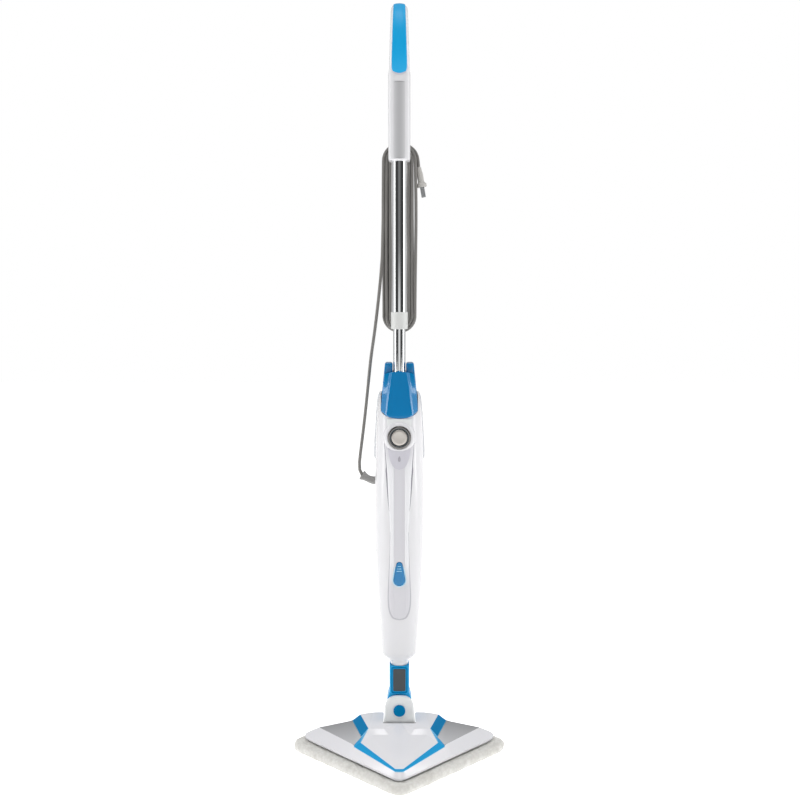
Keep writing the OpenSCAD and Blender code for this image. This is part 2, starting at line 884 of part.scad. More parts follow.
module handle_solid(t) {
  intersection() {
    side_cut(40) handle_outline(t);
    front_cut(-40, 70) handle_front_outline(t);
  }
}

// The soft insert on the loop's outside, from the front over the top
module grip_solid() {
  intersection() {
    side_cut(40) difference() {
      loop_outline(0);
      loop_outline(grip_t);
    }
    front_cut(-40, 70) union() {
      polygon([[-11.3, 1077], [11.3, 1077], [8.5, 1166], [-8.5, 1166]]);
      translate([0, 1077]) circle(r = 11.3);
    }
    box([-20, -40, 1060], [20, 40, 1170]);
  }
}

panel_w = 18;
panel_z = [940, 1053];

// Panel's block in the handle's front, t deep and g larger all round
module panel_block(t, g) {
  y = -handle_d / 2;
  box([-panel_w / 2 - g, y - 20 * g, panel_z[0] - g], [panel_w / 2 + g, y + t, panel_z[1] + g]);
}

module handle_shell() {
  difference() {
    handle_solid(0);
    handle_solid(2.2);
    grip_solid();
    translate([0, 0, handle_z - 1]) cylinder(r = upper_tube_r + 0.03, h = tube_top - handle_z - 1);
    panel_block(1.5, 0.1);
  }
}

module handle_front_shell() {
  color(white) intersection() {
    handle_shell();
    box([-30, -40, 900], [30, seam_y, 1200]);
  }
}

module handle_rear_shell() {
  color(white) difference() {
    union() {
      intersection() {
        handle_shell();
        box([-30, seam_y, 900], [30, 80, 1200]);
      }
      rod_y(9.3, 0, hank_z[1], 11.5, 17.2);
      for (z = handle_screw_z) rod_y(5.5, 0, z, seam_y, 15);
    }
    for (z = handle_screw_z) {
      rod_y(4, 0, z, 14.2, 30);
      rod_y(1.85, 0, z, 0, 20);
    }
    rod_y(3.05, 0, hank_z[1], 11.3, 30);
    translate([0, 0, handle_z - 10]) cylinder(r = upper_tube_r + 0.03, h = 40);
  }
}

module handle_grip() {
  color(blue) grip_solid();
}

module handle_panel() {
  color("#b0afb2") panel_block(1.45, 0);
}

module handle_screws() {
  color(steel) for (z = handle_screw_z) {
    rod_y(3.7, 0, z, 14.2 + eps, 16);
    rod_y(1.8, 0, z, seam_y, 15);
  }
}

module cord_hook() {
  color("#cfd0cd") {
    hook_post(hank_z[1], 17.5, 1);
    rod_y(3, 0, hank_z[1], 12.2, 18);
  }
}

// ---- cord ------------------------------------------------------------------------------

// Strain relief: a ball in the body's left side and a taper that leans out to a flared mouth
module strain_relief() {
  lean = 22;
  y = cord_route[0][1];
  color("#999999") {
    rod_x(4.1, y, relief_z, -42, -33);
    translate([-41, y, relief_z]) sphere(r = 5.4);
    translate([-41.5, y, relief_z + 0.2]) rotate([0, lean - 90, 0]) rotate_extrude() polygon([
      [0, 0], [5.4, 0], [4.6, 8], [5.2, 14], [7.4, 18], [7.4, 19.2], [0, 19.2]
    ]);
  }
}

module power_cord() {
  color("#7f7d7c") swept(cord_route, cord_d / 2, 10);
}

module cord_tail() {
  color("#7f7d7c") swept(tail_route, cord_d / 2, 10);
}

module hank_outline(r) {
  union() {
    translate([0, hank_z[0]]) circle(r = r);
    translate([0, hank_z[1]]) circle(r = r);
    translate([-r, hank_z[0]]) square([2 * r, hank_z[1] - hank_z[0]]);
  }
}

module cord_hank() {
  color("#7f7d7c") front_cut(hank_y[0], hank_y[1]) difference() {
    hank_outline(hank_r[1]);
    hank_outline(hank_r[0]);
  }
}

module plug() {
  color("#bbb9b5") translate(plug_top) rotate([0, 180 - plug_tilt, 0]) union() {
    cylinder(r1 = 3.4, r2 = 4.2, h = 8);
    translate([0, 0, 7]) cylinder(r = 4.6, h = 19);
    translate([0, 0, 25]) cylinder(r = 7.5, h = 6);
  }
}

module plug_blades() {
  color(steel) translate(plug_top) rotate([0, 180 - plug_tilt, 0])
    for (y = [-4.5, 4.5]) translate([-3.1, y - 0.75, 31]) cube([6.2, 1.5, 15]);
}

mop_pad();
grip_strips();
steam_plate();
head_base();
head_skirt();
head_cover();
front_trim();
trim_left();
trim_right();
window_left();
window_right();
steam_elbow();
head_screws();
pitch_axle();
yoke();
swivel_pin();
pin_cap();
neck();
release_button();
release_spring();
steam_pipe();
body_front_shell();
body_rear_shell();
body_screws();
inlay_panel();
indicator_lens();
button_bezel();
power_button();
power_spring();
power_switch();
steam_button();
steam_spring();
steam_switch();
boiler();
pump();
pump_pipe();
control_board();
water_hose();
tank_dock();
tank_shell();
tank_front();
tank_valve();
tank_cap();
tank_seal();
top_cap();
lower_tube();
collar();
upper_tube();
handle_front_shell();
handle_rear_shell();
handle_grip();
handle_panel();
handle_screws();
cord_hook();
strain_relief();
power_cord();
cord_hank();
cord_tail();
plug();
plug_blades();
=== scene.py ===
"""Steam mop, visual model: every visible piece, its finish, the studio and the camera.

Lengths in this file are millimetres, and are turned to metres when a mesh is made.
+Z is up, -Y is the front, and the origin is on the floor under the pole's axis.
"""

from __future__ import annotations

import logging
import math
from dataclasses import dataclass, field
from enum import Enum
from typing import Any

import bmesh
import bpy
import numpy as np
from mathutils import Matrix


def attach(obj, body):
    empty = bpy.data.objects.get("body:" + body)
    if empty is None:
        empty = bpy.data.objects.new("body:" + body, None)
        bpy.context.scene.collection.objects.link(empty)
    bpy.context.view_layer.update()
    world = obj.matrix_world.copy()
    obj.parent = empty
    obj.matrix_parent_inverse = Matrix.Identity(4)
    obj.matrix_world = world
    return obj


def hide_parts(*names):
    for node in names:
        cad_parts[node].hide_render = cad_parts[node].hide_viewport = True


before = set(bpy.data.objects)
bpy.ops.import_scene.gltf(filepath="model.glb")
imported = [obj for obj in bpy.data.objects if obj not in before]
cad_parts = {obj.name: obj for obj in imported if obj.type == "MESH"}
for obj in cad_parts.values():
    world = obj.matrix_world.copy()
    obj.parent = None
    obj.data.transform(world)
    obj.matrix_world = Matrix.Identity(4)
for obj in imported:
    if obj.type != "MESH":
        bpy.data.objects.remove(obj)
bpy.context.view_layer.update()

LOG = logging.getLogger("steam_mop")
MM = 0.001
Stations = list[tuple[float, ...]]


# ---- forms: closed surfaces as arrays -----------------------------------------------------


@dataclass
class Form:
    """Closed surface before it is a mesh: its points in millimetres and its faces."""

    points: np.ndarray
    faces: list[list[int]]

    def __add__(self, other: Form) -> Form:
        """Both surfaces as one form.

        Args:
            other: the surface to join to this one.

        Returns:
            The joined form.
        """
        step = len(self.points)
        moved = [[i + step for i in face] for face in other.faces]
        return Form(np.vstack([self.points, other.points]), self.faces + moved)

    def mirrored(self) -> Form:
        """The form's other hand, across the plane x = 0."""
        return Form(self.points * (-1.0, 1.0, 1.0), [face[::-1] for face in self.faces])


class Facing(Enum):
    """Which way a flat outline faces: the axes of its width, its height and its depth."""

    FRONT = ((1, 0, 0), (0, 0, 1), (0, -1, 0))
    REAR = ((-1, 0, 0), (0, 0, 1), (0, 1, 0))
    SIDE = ((0, 1, 0), (0, 0, 1), (1, 0, 0))
    TOP = ((1, 0, 0), (0, 1, 0), (0, 0, 1))


def ring_stack(rings: np.ndarray, loop: bool = False) -> Form:
    """Skins a stack of closed rings.

    Point (i, j) of the grid joins (i, j + 1), (i + 1, j + 1) and (i + 1, j), and the last
    column joins the first. The first and last rings are closed by flat faces, or joined to
    each other where the stack is itself a loop.

    Args:
        rings: array (stations, points, 3).
        loop: True where the last ring joins the first.

    Returns:
        The closed form.
    """
    rows, cols = rings.shape[:2]
    i, j = np.meshgrid(np.arange(rows if loop else rows - 1), np.arange(cols), indexing="ij")
    i2, j2 = (i + 1) % rows, (j + 1) % cols
    quads = np.stack([i * cols + j, i * cols + j2, i2 * cols + j2, i2 * cols + j], -1)
    faces = quads.reshape(-1, 4).tolist()
    if not loop:
        first = np.arange(cols)
        faces += [first[::-1].tolist(), (first + (rows - 1) * cols).tolist()]
    return Form(rings.reshape(-1, 3), faces)


def shell(outer: np.ndarray, inner: np.ndarray) -> Form:
    """Solid wall between an outer and an inner grid of open arcs.

    Each station's ring runs along the outer arc and back along the inner one, so the wall's
    rims are closed by the ring itself and its ends by a strip of quads.

    Args:
        outer: array (stations, points, 3).
        inner: array of the same shape.

    Returns:
        The closed form.
    """
    rings = np.concatenate([outer, inner[:, ::-1]], 1)
    form = ring_stack(rings)
    cols, half = rings.shape[1], outer.shape[1]
    form.faces = form.faces[:-2]
    j = np.arange(half - 1)
    for base in (0, (rings.shape[0] - 1) * cols):
        strip = np.stack([j, j + 1, cols - 2 - j, cols - 1 - j], -1) + base
        form.faces += strip.tolist()
    return form


def place(flat: np.ndarray, depth: np.ndarray | float, facing: Facing) -> np.ndarray:
    """Turns (width, height) pairs and a depth into points: w * A + h * B + d * C.

    Args:
        flat: array (..., 2).
        depth: distance along the facing's third axis.
        facing: the three axes.

    Returns:
        Array (..., 3).
    """
    axes = np.array(facing.value, float)
    deep = np.broadcast_to(depth, flat.shape[:-1])[..., None]
    return flat[..., :1] * axes[0] + flat[..., 1:] * axes[1] + deep * axes[2]


def slab(
    outline: np.ndarray,
    low: float,
    high: float,
    facing: Facing,
    rim: float = 0.8,
    back_rim: float = 0.4,
    crown: float = 0.0,
    steps: int = 5,
) -> Form:
    """Plate with rounded rims and a crowned face.

    The outline is drawn in by rim * (1 - cos a) while the depth falls by rim * (1 - sin a),
    for a from 0 to a right angle, and the face then rises to its middle by
    crown * (1 - k * k), k being the share of the way out from the middle.

    Args:
        outline: array (points, 2), anticlockwise.
        low: depth of the back.
        high: depth of the face's rim.
        facing: which way the face looks.
        rim: radius of the front rim.
        back_rim: radius of the back rim.
        crown: how far the middle stands above the rim.
        steps: rings in each rounded rim.

    Returns:
        The closed form.
    """
    out = outward(outline)
    a = np.linspace(0, math.pi / 2, steps)
    inset = np.concatenate([back_rim * (1 - np.sin(a)), rim * (1 - np.cos(a))])
    depth = np.concatenate([low + back_rim * (1 - np.cos(a)), high - rim * (1 - np.sin(a))])
    rings = [place(outline - out * i, d, facing) for i, d in zip(inset, depth)]
    if crown:
        middle = outline.mean(0)
        last = outline - out * rim
        for k in (0.9, 0.75, 0.55, 0.3, 0.0):
            rings.append(place(middle + (last - middle) * k, high + crown * (1 - k * k), facing))
    return ring_stack(np.array(rings))


def revolve(profile: Stations, centre: tuple[float, float, float], facing: Facing,
            sides: int = 64, loop: bool = False) -> Form:
    """Turns a profile of (radius, depth) round the facing's depth axis through the centre.

    Args:
        profile: from one pole or rim to the other.
        centre: a point on the axis.
        facing: its third axis is the axis of turning.
        sides: points in a turn.
        loop: True for a ring, whose profile is a closed line.

    Returns:
        The closed form.
    """
    line = np.array(profile, float)
    a = np.arange(sides) * 2 * math.pi / sides
    flat = line[:, :1, None] * np.stack([np.cos(a), np.sin(a)], -1)[None]
    return ring_stack(place(flat, line[:, 1:], facing) + np.array(centre), loop)


def sweep(line: np.ndarray, radius: np.ndarray | float, sides: int = 16,
          side: tuple[float, float, float] = (0.05, 1.0, 0.03)) -> Form:
    """Round rod of changing radius along a line, square to it at every point.

    Args:
        line: array (points, 3).
        radius: one radius, or one for each point.
        sides: points round the rod.
        side: a direction that the line never runs along, from which its rings are turned.

    Returns:
        The closed form.
    """
    along = np.gradient(line, axis=0)
    along /= np.linalg.norm(along, axis=1)[:, None]
    u = np.cross(along, np.array(side))
    u /= np.linalg.norm(u, axis=1)[:, None]
    v = np.cross(along, u)
    a = (np.arange(sides) * 2 * math.pi / sides)[None, :, None]
    r = np.broadcast_to(radius, len(line))[:, None, None]
    return ring_stack(line[:, None] + r * (np.cos(a) * u[:, None] + np.sin(a) * v[:, None]))


def through(stations: np.ndarray, at: np.ndarray) -> np.ndarray:
    """Smooth curve through stations: a cubic between each two, with no overshoot.

    Each inner slope is the harmonic mean of the slopes on its two sides, or nought where
    they differ in sign.

    Args:
        stations: array (n, 1 + values), the first column rising.
        at: places along the first column.

    Returns:
        Array (len(at), values).
    """
    x, v = stations[:, 0], stations[:, 1:]
    h = np.diff(x)[:, None]
    d = np.diff(v, axis=0) / h
    m = np.vstack([d[:1], np.zeros_like(d[1:]), d[-1:]])
    same = d[:-1] * d[1:] > 0
    m[1:-1] = np.where(same, 2 * d[:-1] * d[1:] / np.where(same, d[:-1] + d[1:], 1), 0)
    i = np.clip(np.searchsorted(x, at, side="right") - 1, 0, len(x) - 2)
    t = ((at - x[i]) / (x[i + 1] - x[i]))[:, None]
    a, b = v[i], v[i + 1]
    ma, mb = m[i] * h[i], m[i + 1] * h[i]
    return ((1 + 2 * t) * (1 - t) ** 2 * a + t * (1 - t) ** 2 * ma
            + t * t * (3 - 2 * t) * b + t * t * (t - 1) * mb)


def line_through(points: Stations, spacing: float) -> np.ndarray:
    """Smooth line through points in space, at an even spacing along it.

    Args:
        points: (x, y, z) triples.
        spacing: millimetres between the points returned.

    Returns:
        Array (n, 3).
    """
    p = np.array(points, float)
    run = np.concatenate([[0.0], np.cumsum(np.linalg.norm(np.diff(p, axis=0), axis=1))])
    ask = np.linspace(0, run[-1], max(3, int(run[-1] / spacing) + 1))
    return through(np.column_stack([run, p]), ask)


def cut_corners(points: np.ndarray, most: float, rounds: int = 3) -> np.ndarray:
    """Rounds the corners of an open line, keeping its two ends.

    Each round puts two points on every edge, a quarter of it or `most` from its ends,
    whichever is nearer, and most halves from round to round.

    Args:
        points: array (n, d).
        most: the longest cut of the first round.
        rounds: how many times.

    Returns:
        Array (m, d).
    """
    for _ in range(rounds):
        edge = np.diff(points, axis=0)
        long = np.linalg.norm(edge, axis=1)[:, None]
        share = np.minimum(0.25, most / np.maximum(long, 1e-9))
        pairs = np.stack([points[:-1] + edge * share, points[1:] - edge * share], 1)
        points = np.vstack([points[:1], pairs.reshape(-1, points.shape[1])[1:-1], points[-1:]])
        most /= 2
    return points


def rounded(corners: Stations, radius: float, rounds: int = 4) -> np.ndarray:
    """Closed outline with rounded corners.

    Args:
        corners: anticlockwise corners.
        radius: about the radius of the rounding.
        rounds: fineness of the rounding.

    Returns:
        Array (n, 2).
    """
    p = np.array(corners, float)
    start = (p[:1] + p[-1:]) / 2
    return cut_corners(np.vstack([start, p, start]), radius * 0.6, rounds)[:-1]


def even(outline: np.ndarray, count: int) -> np.ndarray:
    """Closed outline as evenly spaced points.

    Args:
        outline: array (n, 2).
        count: how many points are returned.

    Returns:
        Array (count, 2).
    """
    closed = np.vstack([outline, outline[:1]])
    run = np.concatenate([[0], np.cumsum(np.linalg.norm(np.diff(closed, axis=0), axis=1))])
    ask = np.linspace(0, run[-1], count + 1)[:-1]
    return np.column_stack([np.interp(ask, run, closed[:, 0]), np.interp(ask, run, closed[:, 1])])


def levels(*runs: tuple[float, float, int]) -> np.ndarray:
    """Merges runs of (lowest, highest, count) into one rising row of heights."""
    return np.unique(np.concatenate([np.linspace(*run) for run in runs]))


def outward(outline: np.ndarray) -> np.ndarray:
    """Unit directions that point out of an anticlockwise outline, one for each point.

    Args:
        outline: array (points, 2), closed.

    Returns:
        Array (points, 2): each edge direction turned a quarter clockwise.
    """
    edge = np.roll(outline, -1, 0) - np.roll(outline, 1, 0)
    out = np.stack([edge[:, 1], -edge[:, 0]], 1)
    return out / (np.linalg.norm(out, axis=1)[:, None] + 1e-9)


def arc(centre: tuple[float, float], radius: float, start: float, end: float,
        steps: int) -> np.ndarray:
    """Points of an arc, its angles in degrees from the width axis."""
    a = np.radians(np.linspace(start, end, steps))
    return np.array(centre) + radius * np.stack([np.cos(a), np.sin(a)], 1)


def oval(half_w: np.ndarray, depth: np.ndarray, angle: np.ndarray, power: float) -> np.ndarray:
    """Rounded square: width w * cos^(2/n) and depth d * sin^(2/n), with their signs.

    Args:
        half_w: half widths, one for each station.
        depth: depths, one for each station or one for each point.
        angle: angles round the section.
        power: the exponent n, 2 for an ellipse and more for a squarer section.

    Returns:
        Array (stations, points, 2).
    """
    c, s = np.cos(angle), np.sin(angle)
    x = np.asarray(half_w)[:, None] * np.sign(c) * np.abs(c) ** (2 / power)
    y = np.asarray(depth).reshape(len(x), -1) * np.sign(s) * np.abs(s) ** (2 / power)
    return np.stack([x, y], -1)


# ---- making the objects ----------------------------------------------------------------------


def make_object(name: str, form: Form, sharp: float = 35.0) -> bpy.types.Object:
    """Puts a form into a mesh object at the origin, its faces turned outwards.

    Args:
        name: the piece's name.
        form: the surface in millimetres.
        sharp: edges that turn by more than this many degrees are shaded as edges.

    Returns:
        The object.
    """
    mesh = bpy.data.meshes.new(name)
    mesh.from_pydata((form.points * MM).tolist(), [], form.faces)
    work = bmesh.new()
    work.from_mesh(mesh)
    bmesh.ops.remove_doubles(work, verts=work.verts, dist=2e-6)
    bmesh.ops.dissolve_degenerate(work, edges=work.edges, dist=1e-6)
    bmesh.ops.recalc_face_normals(work, faces=work.faces)
    work.to_mesh(mesh)
    work.free()
    mesh.shade_smooth()
    mesh.set_sharp_from_angle(angle=math.radians(sharp))
    obj = bpy.data.objects.new(name, mesh)
    bpy.context.scene.collection.objects.link(obj)
    return obj


def spots(obj: bpy.types.Object) -> np.ndarray:
    """Places of a piece's vertices in millimetres, as an array (n, 3).

    Args:
        obj: the piece.

    Returns:
        Array (n, 3).
    """
    flat = np.empty(len(obj.data.vertices) * 3)
    obj.data.vertices.foreach_get("co", flat)
    return flat.reshape(-1, 3) / MM


def mark(obj: bpy.types.Object, name: str, values: np.ndarray) -> None:
    """Stores one number for each vertex, which a finish reads by the name."""
    obj.data.attributes.new(name, "FLOAT", "POINT").data.foreach_set("value", values)


def bevel(obj: bpy.types.Object, width: float, angle: float = 25.0, segments: int = 3,
          edge: bpy.types.Material | None = None) -> None:
    """Rounds the piece's sharp edges.

    Args:
        obj: the piece.
        width: millimetres.
        angle: edges that turn by more than this many degrees are rounded.
        segments: facets across the rounding.
        edge: a finish for the rounding alone.
    """
    mod = obj.modifiers.new("rounded_edges", "BEVEL")
    mod.width = width * MM
    mod.segments = segments
    mod.limit_method = "ANGLE"
    mod.angle_limit = math.radians(angle)
    if edge:
        obj.data.materials.append(edge)
        mod.material = 1


def apply_modifiers(obj: bpy.types.Object) -> None:
    """Makes the evaluated mesh the piece's own and drops its modifiers.

    Args:
        obj: the piece.
    """
    graph = bpy.context.evaluated_depsgraph_get()
    done = bpy.data.meshes.new_from_object(obj.evaluated_get(graph), depsgraph=graph)
    old = obj.data
    obj.modifiers.clear()
    obj.data = done
    bpy.data.meshes.remove(old)


def cut_away(obj: bpy.types.Object, form: Form) -> None:
    """Takes a form out of a piece.

    Args:
        obj: the piece.
        form: what is cut away.
    """
    tool = make_object(f"{obj.name}_cutter", form)
    mod = obj.modifiers.new("cut", "BOOLEAN")
    mod.object = tool
    mod.solver = "EXACT"
    apply_modifiers(obj)
    bpy.data.meshes.remove(tool.data)
    obj.data.set_sharp_from_angle(angle=math.radians(50))


def swell(obj: bpy.types.Object, held: np.ndarray, most: float, voxel: float = 4.0,
          pressure: float = 4.0, frames: int = 20) -> None:
    """Plumps a padded piece by a cloth simulation with pressure inside and no gravity.

    Args:
        obj: the piece, a little smaller than it is to be.
        held: box of (lowest, highest) corners of the vertices that stay where they are.
        most: how far a point may move, in millimetres.
        voxel: size of the even mesh that it is first given.
        pressure: how hard it is blown up.
        frames: length of the simulation.
    """
    melt = obj.modifiers.new("even_mesh", "REMESH")
    melt.mode = "VOXEL"
    melt.voxel_size = voxel * MM
    apply_modifiers(obj)
    start = spots(obj)
    inside = ((start >= held[0]) & (start <= held[1])).all(1)
    fixed = np.flatnonzero(inside | (start[:, 2] < 0.8))
    obj.vertex_groups.new(name="held").add(fixed.tolist(), 1.0, "REPLACE")
    cloth = obj.modifiers.new("cloth", "CLOTH")
    cloth.settings.use_pressure = True
    cloth.settings.uniform_pressure_force = pressure
    cloth.settings.effector_weights.gravity = 0.0
    cloth.settings.vertex_group_mass = "held"
    cloth.collision_settings.use_collision = False
    cloth.point_cache.frame_start, cloth.point_cache.frame_end = 1, frames
    for frame in range(1, frames + 1):
        bpy.context.scene.frame_set(frame)
    apply_modifiers(obj)
    move = spots(obj) - start
    far = np.linalg.norm(move, axis=1)[:, None]
    LOG.info("%s moved by %.1f mm at most before its cap", obj.name, far.max())
    move *= np.minimum(1, most / np.maximum(far, 1e-6))
    obj.data.vertices.foreach_set("co", ((start + move) * MM).ravel())
    bpy.context.scene.frame_set(1)
    obj.vertex_groups.clear()
    finer = obj.modifiers.new("finer", "SUBSURF")
    finer.levels = finer.render_levels = 1
    apply_modifiers(obj)


class Body(Enum):
    """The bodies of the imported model."""

    HEAD = "head"
    YOKE = "yoke"
    UPRIGHT = "upright"
    TANK = "water_tank"
    FILL_CAP = "fill_cap"
    POWER = "power_button"
    STEAM = "steam_button"
    RELEASE = "release_button"
    HOOK = "cord_hook"


@dataclass
class Assembly:
    """Sub-assembly that dresses its pieces from the shared finishes."""

    finish: dict[str, bpy.types.Material]

    def add(self, obj: bpy.types.Object, body: Body, slot: str, material: str,
            *stands_for: str) -> bpy.types.Object:
        """Gives a piece its material, its body and the CAD nodes that it stands for.

        Args:
            obj: the piece.
            body: the body that it rides on.
            slot: the record's material slot; not used.
            material: name of its finish.
            stands_for: CAD nodes that it replaces.

        Returns:
            The piece.
        """
        obj.data.materials.clear()
        obj.data.materials.append(self.finish[material])
        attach(obj, body.value)
        if stands_for:
            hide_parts(*stands_for)
        LOG.info("%s rides on %s and replaces %s", obj.name, body.value,
                 ", ".join(stands_for) or "nothing")
        return obj


# ---- finishes -------------------------------------------------------------------------------


def hex_linear(code: str) -> tuple[float, float, float, float]:
    """Turns an sRGB hex colour to linear red, green, blue and alpha.

    Args:
        code: such as "#9b9b9d".

    Returns:
        Linear values, each from 0 to 1.
    """
    srgb = np.array([int(code[i:i + 2], 16) for i in (1, 3, 5)]) / 255
    linear = np.where(srgb <= 0.04045, srgb / 12.92, ((srgb + 0.055) / 1.055) ** 2.4)
    return (*linear.tolist(), 1.0)


def add_node(tree: bpy.types.NodeTree, kind: str, inputs: dict[Any, Any] | None = None,
             **settings: Any) -> bpy.types.Node:
    """Adds a node, sets it up, and fills or links its inputs.

    Args:
        tree: the node tree.
        kind: the node's type.
        inputs: input name or number, and its value or the socket that feeds it.
        settings: the node's own settings.

    Returns:
        The node.
    """
    node = tree.nodes.new(kind)
    for key, value in settings.items():
        setattr(node, key, value)
    for key, value in (inputs or {}).items():
        if isinstance(value, bpy.types.NodeSocket):
            tree.links.new(value, node.inputs[key])
        else:
            node.inputs[key].default_value = value
    return node


def new_material(name: str) -> tuple[bpy.types.Material, bpy.types.NodeTree]:
    """Makes a material with an empty node tree.

    Args:
        name: name of the finish.

    Returns:
        The material and its node tree.
    """
    mat = bpy.data.materials.new(name)
    mat.use_nodes = True
    mat.node_tree.nodes.clear()
    return mat, mat.node_tree


@dataclass(frozen=True)
class MouldedPlastic:
    """Injection-moulded plastic: even colour, a soft drift of shade, and a fine surface.

    A piece with a mask runs from the colour to the shade by its own attribute instead. Gloss
    parts come from a polished mould and show slight orange peel. Satin parts come
    from a spark-eroded mould and show a fine even grain.
    """

    name: str
    colour: str
    shade: str
    roughness: float
    grain_mm: float = 2.5
    grain_depth_mm: float = 0.01
    coat: float = 0.0
    ior: float = 1.53
    mask: str = ""

    def make(self) -> bpy.types.Material:
        """Builds the material.

        Returns:
            The material.
        """
        mat, tree = new_material(self.name)
        where = add_node(tree, "ShaderNodeTexCoord").outputs["Object"]
        drift = add_node(tree, "ShaderNodeTexNoise",
                         {"Vector": where, "Scale": 1000 / 70, "Detail": 2.0})
        share = drift.outputs[0]
        if self.mask:
            share = add_node(tree, "ShaderNodeAttribute", attribute_name=self.mask).outputs["Fac"]
        tone = add_node(tree, "ShaderNodeMix",
                        {0: share, 6: hex_linear(self.colour), 7: hex_linear(self.shade)},
                        data_type="RGBA")
        touch = add_node(tree, "ShaderNodeTexNoise",
                         {"Vector": where, "Scale": 1000 / 18, "Detail": 4.0})
        wear = add_node(tree, "ShaderNodeMapRange",
                        {0: touch.outputs[0], 1: 0.3, 2: 0.7, 3: self.roughness * 0.9,
                         4: self.roughness * 1.15})
        grain = add_node(tree, "ShaderNodeTexNoise",
                         {"Vector": where, "Scale": 1000 / self.grain_mm, "Detail": 2.0})
        relief = add_node(tree, "ShaderNodeBump",
                          {"Height": grain.outputs[0], "Strength": 1.0,
                           "Distance": self.grain_depth_mm * MM})
        shader = add_node(tree, "ShaderNodeBsdfPrincipled",
                          {"Base Color": tone.outputs[2], "Roughness": wear.outputs[0],
                           "IOR": self.ior, "Coat Weight": self.coat, "Coat Roughness": 0.06,
                           "Normal": relief.outputs[0]})
        add_node(tree, "ShaderNodeOutputMaterial", {0: shader.outputs[0]})
        return mat


@dataclass(frozen=True)
class Metal:
    """Metal with fine lines from drawing or brushing, or round its own axis where turned.

    Lines are stretched noise: short across the lines and long along them. Real brush lines
    are about 0.05 mm apart, too fine to show, so they are drawn coarser.
    """

    name: str
    colour: str
    roughness: float
    across_mm: float = 0.6
    along_mm: float = 80.0
    depth_mm: float = 0.002

    def make(self) -> bpy.types.Material:
        """Builds the material.

        Returns:
            The material.
        """
        mat, tree = new_material(self.name)
        where = add_node(tree, "ShaderNodeTexCoord").outputs["Object"]
        across, along = 1000 / self.across_mm, 1000 / self.along_mm
        lines = add_node(tree, "ShaderNodeMapping",
                         {"Vector": where, "Scale": (across, across, along)})
        noise = add_node(tree, "ShaderNodeTexNoise",
                         {"Vector": lines.outputs[0], "Scale": 1.0, "Detail": 3.0})
        wear = add_node(tree, "ShaderNodeMapRange",
                        {0: noise.outputs[0], 1: 0.3, 2: 0.7, 3: self.roughness * 0.8,
                         4: self.roughness * 1.3})
        relief = add_node(tree, "ShaderNodeBump",
                          {"Height": noise.outputs[0], "Strength": 1.0,
                           "Distance": self.depth_mm * MM})
        shader = add_node(tree, "ShaderNodeBsdfPrincipled",
                          {"Base Color": hex_linear(self.colour), "Metallic": 1.0,
                           "Roughness": wear.outputs[0], "Normal": relief.outputs[0]})
        add_node(tree, "ShaderNodeOutputMaterial", {0: shader.outputs[0]})
        return mat


@dataclass(frozen=True)
class Pile:
    """Microfibre pile: loops of yarn about 4 mm apart that scatter light softly.

    Cells give the loops, and a finer noise their fibres, drawn at 0.9 mm because single
    fibres are too fine to show. Sheen gives the pale edge that pile has against the light.
    """

    name: str
    colour: str
    shade: str
    tuft_mm: float = 4.2
    fibre_mm: float = 0.9
    depth_mm: float = 0.9

    def make(self) -> bpy.types.Material:
        """Builds the material.

        Returns:
            The material.
        """
        mat, tree = new_material(self.name)
        where = add_node(tree, "ShaderNodeTexCoord").outputs["Object"]
        fibre = add_node(tree, "ShaderNodeTexNoise",
                         {"Vector": where, "Scale": 1000 / self.fibre_mm, "Detail": 3.0})
        bent = add_node(tree, "ShaderNodeVectorMath",
                        {0: fibre.outputs[1], 1: (0.004, 0.004, 0.004), 2: where},
                        operation="MULTIPLY_ADD")
        tuft = add_node(tree, "ShaderNodeTexVoronoi",
                        {"Vector": bent.outputs[0], "Scale": 1000 / self.tuft_mm})
        height = add_node(tree, "ShaderNodeMath",
                          {0: fibre.outputs[0], 1: 0.5, 2: tuft.outputs[0]},
                          operation="MULTIPLY_ADD")
        drift = add_node(tree, "ShaderNodeTexNoise",
                         {"Vector": where, "Scale": 1000 / 22, "Detail": 4.0})
        blend = add_node(tree, "ShaderNodeMath",
                         {0: tuft.outputs[0], 1: 0.55, 2: drift.outputs[0]},
                         operation="MULTIPLY_ADD", use_clamp=True)
        fade = add_node(tree, "ShaderNodeMapRange", {0: blend.outputs[0], 1: 0.45, 2: 1.0})
        tone = add_node(tree, "ShaderNodeMix",
                        {0: fade.outputs[0], 6: hex_linear(self.colour), 7: hex_linear(self.shade)},
                        data_type="RGBA")
        relief = add_node(tree, "ShaderNodeBump",
                          {"Height": height.outputs[0], "Strength": 0.5,
                           "Distance": self.depth_mm * MM}, invert=True)
        shader = add_node(tree, "ShaderNodeBsdfPrincipled",
                          {"Base Color": tone.outputs[2], "Roughness": 0.95, "IOR": 1.45,
                           "Sheen Weight": 0.35, "Sheen Roughness": 0.5,
                           "Normal": relief.outputs[0]})
        add_node(tree, "ShaderNodeOutputMaterial", {0: shader.outputs[0]})
        return mat


